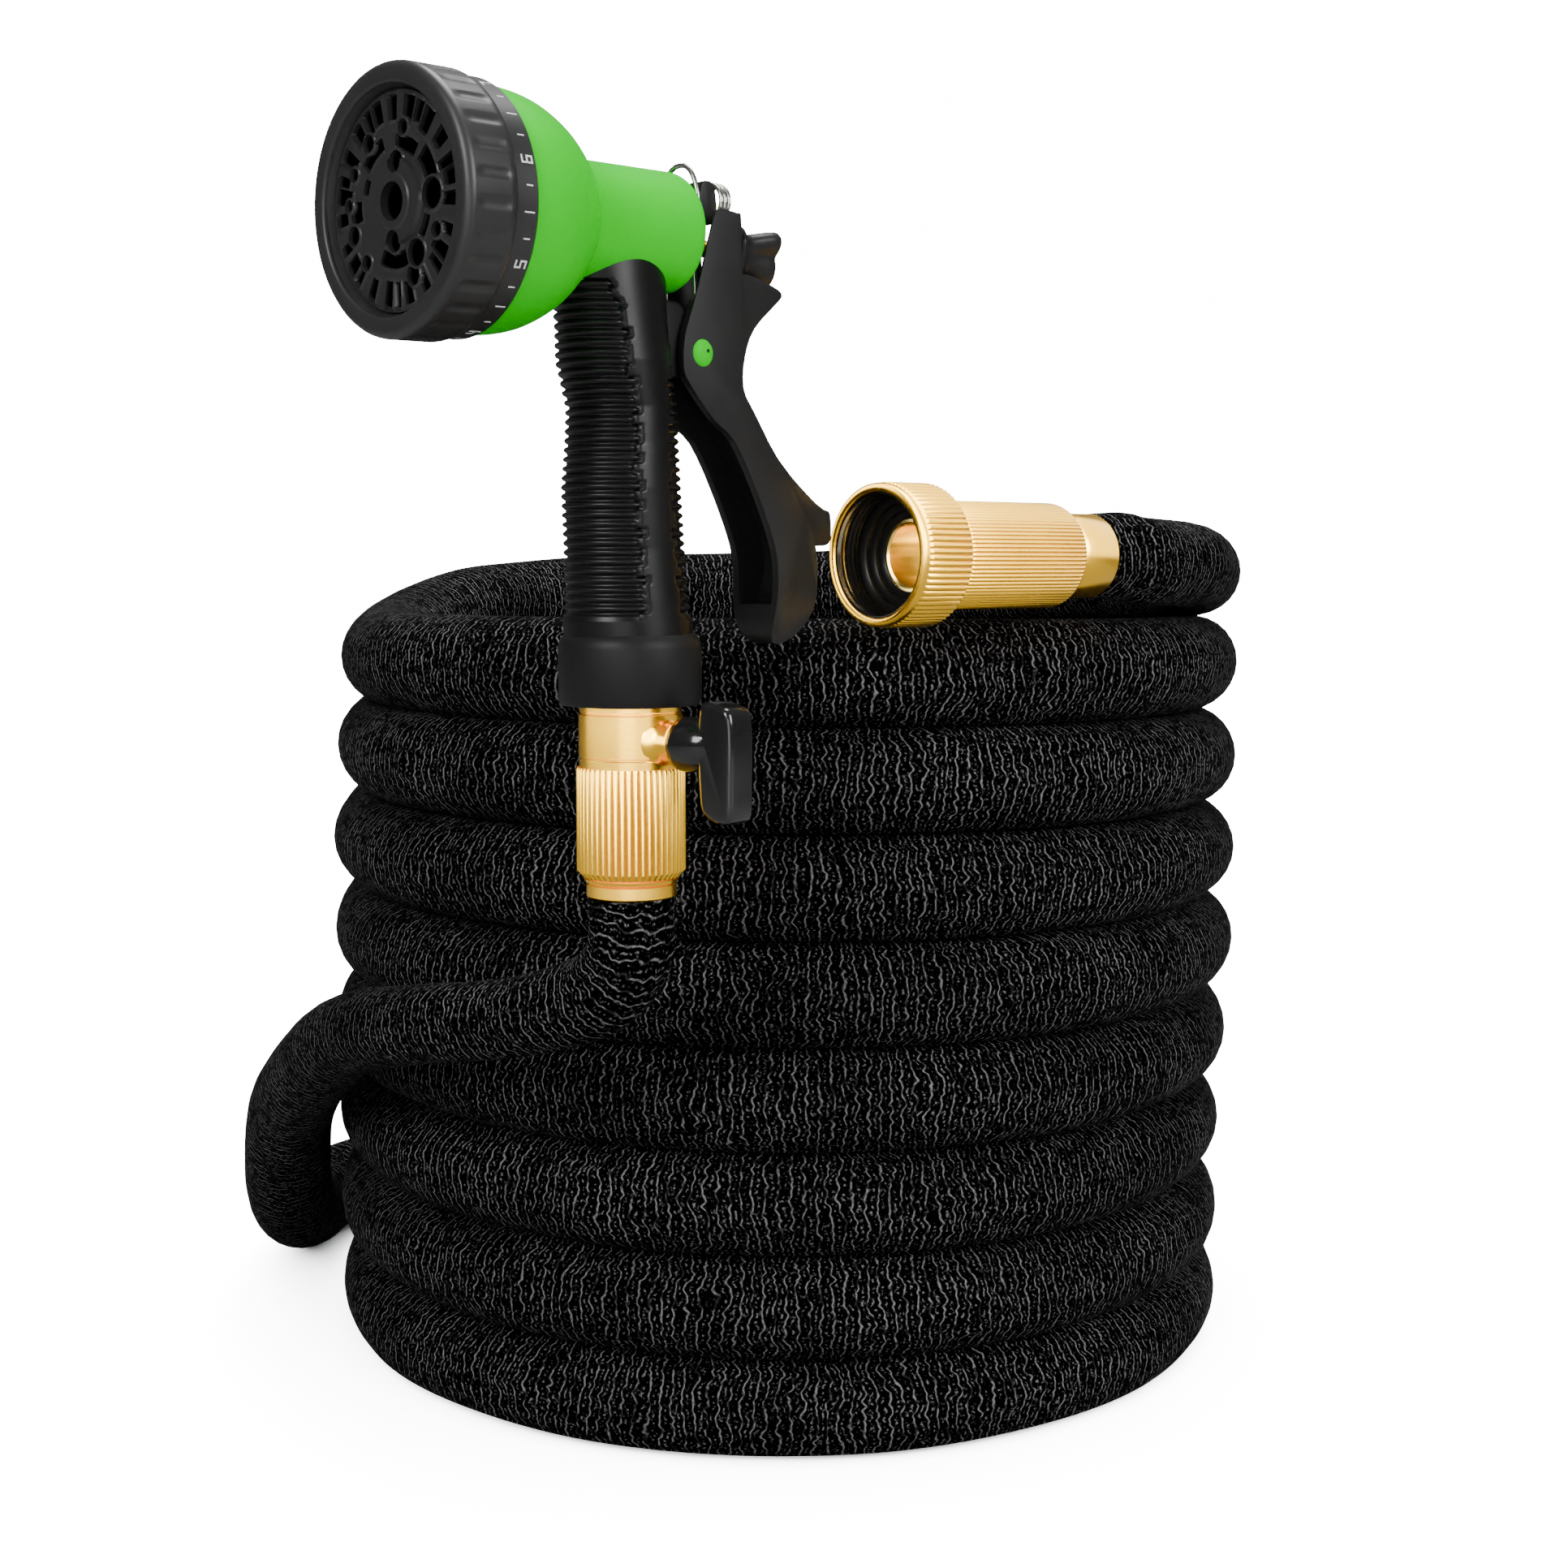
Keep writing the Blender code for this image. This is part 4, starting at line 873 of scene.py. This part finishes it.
# x, z from the pivot, down the rear edge, round the foot, up the front edge
TRIGGER_OUTLINE = mm(
    (9.8, 28.9), (10.9, 27.7), (11.1, 17.6), (12.5, 16.8), (15.9, 16.2), (21.2, 14.6), (22.6, 13.5),
    (21.6, 12), (14.7, 6), (11.9, 0), (11.5, -6.5), (14.7, -11.4), (21.9, -21.5), (26.7, -28),
    (30.5, -34), (33, -39.1), (33.5, -45.9), (32.7, -52.4), (29.5, -57.6), (25.8, -59.7), (22.7, -58.8),
    (21.3, -54.6), (21.6, -45.9), (20.5, -38.5), (14.9, -26.8), (8.9, -17.4), (3, -13.2), (-3.4, -6.6),
    (-5.2, -3.3), (-4.9, 2.9), (-2.6, 9.2), (-0.4, 15.5), (1.9, 23.1), (3.6, 28), (4.8, 29.1))
SPUR = mm(
    (19, -15), (23.7, -20), (28.8, -24.6), (34.8, -29), (38, -30.8), (40, -31.8), (40.2, -37.2),
    (38.5, -38.6), (35.9, -38.6), (29.9, -39))
BRIDGE = mm(
    (2.8, 27.2), (7.6, 27.2), (7.6, 32.5), (6.8, 34.8), (5.2, 35.3), (3.7, 34.2))
SLIT = mm(
    (-6, 10.5), (10.5, 10.5), (10.5, 33), (-6, 33))
TRIGGER_HALF = 0.007
SPUR_HALF = 0.0045
HOLLOW_HALF = 0.0052
SLIT_HALF = 0.0065
BRIDGE_HALF = 0.0028
# The foot narrows from this height down, over this length.
FOOT_START = -0.0475
FOOT_LENGTH = 0.0135
TRIGGER_HOLLOW = mm(
    (27.9, 33), (27.9, 17.6), (14.9, 15), (13, 7.2), (9.8, 1), (9.3, -6.5), (12.2, -12), (19.7, -22.7),
    (24.5, -29.2), (27.6, -34.8), (29.4, -39.8), (29.3, -44.5), (27.8, -48.6), (25, -51), (15.9, -51.5),
    (-14.1, -19.6), (-14.1, 33))
PIN_RADIUS = 0.0029
PIN_DOME = 0.0013
PIN_EDGE = 0.0066
BAIL_WIRE = 0.00052
# The bail's legs, from its pivot hole up to the loop.
BAIL_LEG = mm(
    (0, 5.7, 0), (0, 4.9, 0.2), (0, 4.4, 1.2), (-0.2, 4.2, 6))
BAIL_STEPS = 30
SPRING_WIRE = 0.00048
SPRING_TURNS = 3
SPRING_STEPS = 28
SPRING_RADIUS = 0.0036
SPRING_PITCH = 0.0011
SPRING_START = 0.0083
SPRING_HEIGHT = 0.0316


def squeeze_lever():
    """The trigger with its hollow front and its palm spur, pin, bail, spring,
    rod and knob."""
    at = nozzle_matrix()
    pivot_at = at @ Matrix.Translation(PIVOT)
    lever = plate_object("lever", smooth_outline(TRIGGER_OUTLINE, 3), TRIGGER_HALF)
    joined(lever, plate_object("spur", smooth_outline(SPUR, 3), SPUR_HALF), "UNION")
    joined(lever, plate_object("hollow", TRIGGER_HOLLOW, HOLLOW_HALF), "DIFFERENCE")
    joined(lever, plate_object("slit", SLIT, SLIT_HALF), "DIFFERENCE")
    joined(lever, plate_object("bridge", smooth_outline(BRIDGE, 3), BRIDGE_HALF), "UNION")
    for vertex in lever.data.vertices:
        below = max(0.0, FOOT_START - vertex.co.z) / FOOT_LENGTH
        vertex.co.y *= math.sqrt(max(0.06, 1 - below ** 2))
    softened(lever, 0.0009, 3, 40.0)
    finished(lever, "squeeze_trigger", BLACK, "black_plastic", "trigger", pivot_at, ("trigger",), 40.0)
    pin_at = pivot_at @ Matrix.Rotation(math.pi / 2, 4, "X")
    for side, name in ((1, "near"), (-1, "far")):
        dome = [(PIN_RADIUS * math.cos(a), PIN_EDGE + PIN_DOME * math.sin(a)) for a in
                [math.pi / 2 * k / 8 for k in range(8, -1, -1)]]
        dome[0] = (0.0, 0.0079)
        shape = [(r, side * z) for r, z in dome + [(PIN_RADIUS, 0.006), (0.0, 0.006)]]
        verts, faces = turned(shape, 32)
        place_piece("pin_dome_" + name, mesh_of("pin_dome", verts, faces, [GREEN], 50.0),
                    "green_plastic", "hose", pin_at, ("trigger_pin",) if side == 1 else ())
    turned_piece("pin_mark", [(0.0, 0.00793), (0.0004, 0.0079), (0.0004, 0.0078), (0.0, 0.0078)],
                 BLACK, "black_plastic", "hose", pin_at @ Matrix.Translation((0.0006, 0.0004, 0.0)), 16)
    bail_at = pivot_at @ Matrix.Translation((0.0005, 0.0, 0.0089))
    path = [(x, -y, z) for x, y, z in BAIL_LEG]
    for i in range(BAIL_STEPS + 1):
        angle = math.radians(-52) + math.radians(284) * i / BAIL_STEPS
        wide = BAIL_HALF_WIDTH * math.copysign(abs(math.cos(angle)) ** 0.8, math.cos(angle))
        path.append((-0.0003, -wide, BAIL_HEIGHT - BAIL_HALF_HEIGHT * (1 - math.sin(angle))))
    path += BAIL_LEG[::-1]
    wire("wire_bail", path, BAIL_WIRE, STEEL, "steel_wire", "bail", bail_at, 12, ("lock_bail",))
    coil = []
    for i in range(SPRING_TURNS * SPRING_STEPS + 1):
        a = math.tau * i / SPRING_STEPS - 0.6
        coil.append((SPRING_START + SPRING_PITCH * i / SPRING_STEPS, -SPRING_RADIUS * math.cos(a),
                     SPRING_HEIGHT + SPRING_RADIUS * math.sin(a)))
    wire("grey_spring", coil, SPRING_WIRE, STEEL, "steel_wire", "trigger", pivot_at, 10,
         ("lock_spring",))
    rod_at = at @ Matrix.Translation((0.0, 0.0, ROD_HEIGHT)) @ Matrix.Rotation(math.pi / 2, 4, "Y")
    turned_piece("brass_rod", mm(
        (0, 3.2), (1.3, 3.2), (1.3, 19), (1.6, 19.2), (1.8, 19.6), (1.8, 20.8), (1.6, 21.2),
        (1.3, 21.4), (1.3, 31.2), (0, 31.2)),
        BRASS_SMOOTH, "brass", "rod", rod_at, 48, hides=("pull_rod",))

    def lobes(radius, height, angles):
        swell = min(1.0, max(0.0, (height - 0.0286) / 0.0075))
        return radius * (1 + (0.1 + 0.2 * swell) * np.cos(3 * angles + 0.7)
                         + 0.05 * swell * np.cos(6 * angles))

    turned_piece("lobed_knob", mm(
        (0, 38.1), (2.6, 38.3), (3.6, 38.9), (4.6, 38.6), (4.9, 37.8), (4.7, 36), (4.3, 33.5),
        (4, 31.5), (4.1, 30), (5, 29), (5.6, 28.3), (5.6, 27.5), (5, 27), (1.5, 27), (0, 27)),
        BLACK, "black_plastic", "rod", rod_at, 96, lobes, ("flow_knob",), 50.0)


# Spray head

# Slots in the face: inner and outer radius, from and to in degrees, and a depth
# where it isn't the usual one.
FACE_SLOTS = (
    (0.0092, 0.0118, 152.0, 196.0), (0.0092, 0.0116, 322.0, 356.0), (0.01, 0.0122, 18.0, 52.0),
    (0.0098, 0.0132, 284.0, 312.0), (0.0095, 0.0108, 224.0, 250.0), (0.0088, 0.0101, 60.0, 76.0),
    (0.0108, 0.014, 84.0, 101.0, 0.0016))
RIM_SLOTS = 26
# Round holes: their centre and radius.
FACE_HOLES = mm(
    (-7, 0.6, 1.8), (7, -0.6, 1.8), (-4.8, 13.5, 1.56), (0.8, 14.8, 0.96), (-13.5, -4.8, 1.68),
    (-9.6, -6, 2.28), (0.2, -11.2, 2.64), (-10, 9.6, 1.2), (11.2, 7.8, 1.44), (6.2, 12.8, 1.08),
    (-6.2, -12.2, 1.2), (12.8, -3, 1.2))
CENTRE_HOLE_DEPTH = 0.0034
LIP_WIDTH = 0.0006


def polar_relief(x, y):
    """The spray face's height over its plane: slots, holes and bosses."""
    radius = np.hypot(x, y)
    angle = np.degrees(np.arctan2(y, x)) % 360.0
    height = np.zeros_like(x)

    def ramp(inside, soft=0.00045):
        return np.clip(inside / soft + 0.5, 0.0, 1.0)

    def raise_to(level):
        """Lift only what lies under a raised place: the hollows beside it stay."""
        nonlocal height
        height = np.where(level > 0.0, np.maximum(height, level), height)

    def sink(inside, rim, depth):
        nonlocal height
        height = np.where(inside > -0.0001, rim - (depth + rim) * ramp(inside), height)

    def hole(cx, cy, size, depth=0.0022, rim=0.0003):
        inside = size - np.hypot(x - cx, y - cy)
        raise_to(rim * ramp(inside + LIP_WIDTH))
        sink(inside, rim, depth)

    def slot(low, high, start, stop, depth=0.002, rim=0.0002):
        turn = (angle - start) % 360.0
        width = (stop - start) % 360.0
        beside = np.minimum(turn, width - turn) * np.pi / 180 * radius
        inside = np.minimum(beside, np.minimum(radius - low, high - radius))
        raise_to(rim * ramp(inside + LIP_WIDTH))
        sink(inside, rim, depth)

    for size, rise in ((0.0078, 0.0008), (0.0052, 0.0011)):
        raise_to(rise * ramp(size - radius, 0.0004))
    for k in range(RIM_SLOTS):
        middle = 360.0 / RIM_SLOTS * k + 3.0 * math.sin(k * 1.7)
        wide = 3.6 + 0.8 * math.sin(k * 2.3)
        slot(0.0146 + 0.0007 * math.sin(k * 2.9), 0.0186, middle - wide, middle + wide, rim=0.0003)
    for row in FACE_SLOTS:
        slot(*row)
    for row in FACE_HOLES:
        hole(*row)
    hole(0.0, 0.0, 0.0032, CENTRE_HOLE_DEPTH)
    vane = ramp(0.0006 - np.abs(x * 0.6 + y * 0.8)) * (radius < 0.0036)
    return np.where(vane > 0.5, np.maximum(height, -0.0012), height)


def face_mesh():
    """The recessed face as a fine polar grid with its relief, closed behind."""
    rings = 96
    sides = 384
    edge = FACE_RADIUS - 0.0002
    radii = edge * (np.arange(rings) + 1) / rings
    angles = np.arange(sides) * math.tau / sides
    r, a = np.meshgrid(radii, angles, indexing="ij")
    x = r * np.cos(a)
    y = r * np.sin(a)
    front = DIAL_FRONT - FACE_RECESS
    z = front + polar_relief(x, y)
    verts = np.stack([x, y, z], axis=2).reshape(-1, 3).tolist()
    centre = len(verts)
    verts.append((0.0, 0.0, front - CENTRE_HOLE_DEPTH))
    back = len(verts)
    verts += [(edge * math.cos(t), edge * math.sin(t), front - 0.004) for t in angles.tolist()]
    faces = []
    for k in range(sides):
        m = (k + 1) % sides
        faces.append((centre, k, m))
        faces.append(((rings - 1) * sides + k, (rings - 1) * sides + m, back + m, back + k))
        for i in range(rings - 1):
            faces.append((i * sides + k, i * sides + m, (i + 1) * sides + m, (i + 1) * sides + k))
    faces.append(tuple(back + k for k in range(sides)))
    return verts, faces


SEGMENTS = {1: "bc", 2: "abged", 3: "abgcd", 4: "fgbc", 5: "afgcd", 6: "afgedc", 7: "abc", 8: "abcdefg"}
# Each stroke of a number, from and to, as shares of its width and height.
STROKES = {"a": (0, 1, 1, 1), "d": (0, 0, 1, 0), "g": (0, 0.5, 1, 0.5), "b": (1, 0.5, 1, 1),
           "c": (1, 0, 1, 0.5), "e": (0, 0, 0, 0.5), "f": (0, 0.5, 0, 1)}
MARK_WIDTH = 0.0012
MARK_HEIGHT = 0.0022
PEN = 0.00034
TICK_HALF = 0.00013


def band_marks():
    """Plain numbers and ticks on the band, a hair above it."""
    verts = []
    faces = []
    lift = BAND_RADIUS + 0.00006
    middle = (BELL_FRONT + RING_BACK) / 2 - 0.0001

    def bar(angle, u0, u1, v0, v1):
        b = len(verts)
        for u, v in ((u0, v0), (u1, v0), (u1, v1), (u0, v1)):
            for depth in (0.0, 0.00012):
                a = angle + u / lift
                reach = lift - depth
                verts.append((reach * math.cos(a), reach * math.sin(a), middle + v))
        faces.extend([(b, b + 2, b + 4, b + 6), (b + 1, b + 7, b + 5, b + 3)])
        for p, q in ((0, 2), (2, 4), (4, 6), (6, 0)):
            faces.append((b + p, b + p + 1, b + q + 1, b + q))

    for number, keys in SEGMENTS.items():
        angle = math.tau * number / 8 + 0.25
        for key in keys:
            x0, y0, x1, y1 = STROKES[key]
            u = sorted(((x0 - 0.5) * MARK_WIDTH, (x1 - 0.5) * MARK_WIDTH))
            v = sorted(((y0 - 0.5) * MARK_HEIGHT, (y1 - 0.5) * MARK_HEIGHT))
            bar(angle, u[0] - PEN / 2, u[1] + PEN / 2, v[0] - PEN / 2, v[1] + PEN / 2)
        for k, tall in ((1, 0.0007), (2, 0.0011), (3, 0.0007)):
            bar(angle + math.tau / 8 * k / 4, -TICK_HALF, TICK_HALF, -tall, tall)
    return verts, faces


BARREL_ROUND = 0.0032
DIAL_NOTCHES = 30
NOTCH_DEPTH = 0.00026


def head():
    """Bell and barrel, dial ring with its band and marks, and the spray face."""
    at = nozzle_matrix() @ along_x(HEAD_HEIGHT, HEAD_TILT)
    core = BARREL_RADIUS - BARREL_ROUND
    rear = [(core + BARREL_ROUND * math.sin(a), -0.0088 - BARREL_ROUND * math.cos(a)) for a in
            [math.pi / 2 * k / 7 for k in range(8)]]
    turned_piece("green_bell_and_barrel", [
        (0.0, -0.012), *rear, (BARREL_RADIUS, 0.0), *bell_profile(),
        (BELL_RADIUS - 0.0006, BELL_FRONT + 0.0003), (BELL_RADIUS - 0.0022, BELL_FRONT),
        (BELL_RADIUS - 0.0022, BELL_FRONT - 0.006), (0.0, BELL_FRONT - 0.006)],
        GREEN, "green_plastic", "hose", at, 144, hides=("nozzle_barrel",), sharp=45.0)

    def notches(radius, height, angles):
        if radius < DIAL_RADIUS - 0.0009:
            return np.full(len(angles), radius)
        from_end = min(height - RING_BACK - 0.001, DIAL_FRONT - 0.0022 - height)
        length = np.clip(from_end / 0.0012, 0.0, 1.0)
        wave = np.clip((np.cos(DIAL_NOTCHES * angles) - 0.35) / 0.35, 0.0, 1.0)
        return radius - NOTCH_DEPTH * length * wave

    front = DIAL_FRONT
    side_heights = np.linspace(RING_BACK + 0.0011, front - 0.0018, 12).tolist()
    turned_piece("pattern_dial", [
        (FACE_RADIUS, front - 0.0062), (FACE_RADIUS, front - 0.0024),
        (FACE_RADIUS + 0.0009, front - 0.0009),
        *rounded_corner(FACE_RADIUS + 0.0006, front, 0.0007, 1, 3)[::-1],
        *rounded_corner(DIAL_RADIUS, front, 0.0017, 0, 5)[::-1],
        *[(DIAL_RADIUS, h) for h in side_heights[::-1]],
        (DIAL_RADIUS - 0.0003, RING_BACK + 0.0003), (BAND_RADIUS, RING_BACK),
        (BAND_RADIUS, BELL_FRONT + 0.0008), (BAND_RADIUS - 0.0004, BELL_FRONT + 0.0005),
        (0.006, BELL_FRONT + 0.0005), (0.006, front - 0.0062)],
        DIAL, "black_plastic", "dial", at, 360, notches, ("dial_ring",), 40.0)
    place_piece("spray_plate", mesh_of("spray_plate", *face_mesh(), [FACE], 60.0),
                "black_plastic", "dial", at, ("spray_face",))
    place_piece("band_marks", mesh_of("band_marks", *band_marks(), [WHITE], 30.0),
                "black_plastic", "dial", at)


def camera():
    """The photograph's camera."""
    data = bpy.data.cameras.new("camera")
    data.lens = CAMERA_LENS
    data.sensor_width = 36.0
    data.clip_start = 0.01
    data.clip_end = 20.0
    made = in_scene("camera", data)
    made.location = COIL_CENTRE + CAMERA_PLACE
    made.rotation_euler = (math.pi / 2 - CAMERA_TILT, 0.0, 0.0)
    bpy.context.scene.camera = made


def facing(direction):
    return Vector(direction).to_track_quat("-Z", "Y").to_euler()


def light(name, place, target, size, power):
    """A square soft light that looks at its target."""
    data = bpy.data.lights.new(name, "AREA")
    data.shape = "RECTANGLE"
    data.size = size
    data.size_y = size
    data.energy = power
    made = in_scene(name, data)
    made.location = place
    made.rotation_euler = facing(Vector(target) - Vector(place))
    return made


def sun(name, direction, spread, power, lit):
    """A wide soft sun for the given objects alone."""
    data = bpy.data.lights.new(name, "SUN")
    data.energy = power
    data.angle = math.radians(spread)
    made = in_scene(name, data)
    made.rotation_euler = facing(direction)
    group = bpy.data.collections.new(name + "_only")
    for piece in lit:
        group.objects.link(piece)
    made.light_linking.receiver_collection = group
    return made


def linked(mesh_name, verts, faces, surface):
    """A mesh object from plain lists."""
    mesh = bpy.data.meshes.new(mesh_name)
    mesh.from_pydata(verts, [], faces)
    mesh.materials.append(surface)
    return in_scene(mesh_name, mesh)


def studio():
    """A white room: a shown floor and backdrop that light nothing, a plain floor
    that the object's light bounces off, and soft lights."""
    world = bpy.data.worlds.new("studio")
    world.use_nodes = True
    bpy.context.scene.world = world
    n = Nodes(world.node_tree)
    back = world.node_tree.nodes["Background"]
    split = n.add("ShaderNodeSeparateXYZ")
    n.put(split.inputs[0], n.add("ShaderNodeTexCoord").outputs["Generated"])
    n.put(back.inputs["Strength"], n.step(split.outputs[2], -0.2, 0.9, WORLD_LOW, WORLD_HIGH))
    white, m, shader = new_material("floor")
    m.fill(shader, {"Base Color": rgba(0.9, 0.9, 0.9), "Roughness": 1.0, "Specular IOR Level": 0.0})
    reach = 7.0
    square = [(-reach, -reach, 0), (reach, -reach, 0), (reach, reach, 0), (-reach, reach, 0)]
    shown = linked("floor", square, [(0, 1, 2, 3)], white)
    shown.location.z = -0.0004
    shown.visible_diffuse = False
    shown.visible_glossy = False
    bounce = linked("floor_bounce", square, [(0, 1, 2, 3)], white)
    bounce.location.z = -0.0008
    bounce.visible_camera = False
    glow, m, shader = new_material("backdrop")
    m.fill(shader, {"Base Color": rgba(0.0, 0.0, 0.0), "Emission Color": rgba(1.0, 1.0, 1.0),
                    "Emission Strength": BACKDROP_GLOW})
    sides = 48
    wall = 8.0
    ring = [(wall * math.cos(math.tau * k / sides), wall * math.sin(math.tau * k / sides))
            for k in range(sides)]
    verts = [(x, y, -2.0) for x, y in ring] + [(x, y, wall) for x, y in ring]
    faces = [(k, (k + 1) % sides, sides + (k + 1) % sides, sides + k) for k in range(sides)]
    faces.append(tuple(range(sides, 2 * sides)))
    backdrop = linked("backdrop", verts, faces, glow)
    for name in ("visible_diffuse", "visible_glossy", "visible_transmission", "visible_shadow"):
        setattr(backdrop, name, False)
    floor_sun = sun("floor_sun", (0.0, 0.0, -1.0), 150, FLOOR_SUN, [shown])
    lights = [light("key", (-0.9, -1.6, 1.1), (0, 0, 0.12), 0.8, KEY_POWER),
              light("fill", (1.4, -1.1, 0.9), (0, 0, 0.14), 0.8, FILL_POWER),
              light("front", (-0.1, -1.7, 0.12), (0, 0, 0.16), 1.0, FRONT_POWER),
              light("top", (0.1, 0.3, 1.7), (0, 0, 0.1), 0.9, TOP_POWER)]
    metal = [piece for piece in bpy.data.objects if piece.get("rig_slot") == "brass"]
    glints = [sun("brass_shine", (0.45, 0.75, -0.35), 160, BRASS_SHINE, metal),
              sun("brass_side", (-0.8, 0.4, -0.3), 160, BRASS_SIDE, metal)]


camera()
hose, centreline, hose_length = build_hose(hose_fabric())
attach(hose, "hose")
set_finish(hose, "hose_fabric")
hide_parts("hose_coil", "hose_top_turn", "hose_lead")

BRASS_COLOUR = (0.97, 0.54, 0.03)
BRASS = plain("brass", BRASS_COLOUR, 0.26, 1.0, 0.1, 1500.0, 0.04)
BRASS_SMOOTH = plain("brass_smooth", BRASS_COLOUR, 0.24, 1.0, 0.05, 1500.0, 0.04)
BRASS_INSIDE = plain("brass_inside", (0.93, 0.7, 0.2), 0.22, 1.0, 0.05, 1500.0, 0.04)
GREEN = plain("green_plastic", (0.001, 0.6, 0.003), 0.4, mottle=0.03, specular=0.05)
BLACK = plain("black_plastic", (0.011, 0.011, 0.0112), 0.42, grain=0.05, specular=0.26)
DIAL = plain("dial_plastic", (0.018, 0.018, 0.0183), 0.38, grain=0.04, mottle=0.2, specular=0.42)
FACE = face_plastic_painted_shade()
COLLAR = plain("collar_plastic", (0.007, 0.007, 0.0072), 0.5, grain=0.06, specular=0.22)
GRIP = plain("grip_rubber", (0.0035, 0.0035, 0.0036), 0.36, grain=0.04, specular=0.26)
LEVER = plain("lever_plastic", (0.008, 0.008, 0.008), 0.16, specular=0.6)
RUBBER = plain("rubber", (0.003, 0.003, 0.003), 0.35, specular=0.3)
STEEL = plain("steel_wire", (0.55, 0.54, 0.5), 0.22, 1.0)
LINER = plain("thread_liner", (0.3, 0.28, 0.24), 0.2, 1.0)
WHITE = plain("white_marks", (0.75, 0.75, 0.75), 0.6)
SURFACES = {"hose_fabric": RUBBER, "brass": BRASS, "green_plastic": GREEN, "black_plastic": BLACK,
            "grip_rubber": GRIP, "lever_plastic": LEVER, "rubber": RUBBER, "steel_wire": STEEL}
supply_pieces = supply_side()
valve_side()
handle()
squeeze_lever()
head()
slots = {row["node"]: row["material_slot"] for row in frame["record"]["subparts"]}
for node, piece in frame["nodes"].items():
    piece.data.materials.clear()
    piece.data.materials.append(SURFACES[slots[node]])
    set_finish(piece, slots[node])

studio()
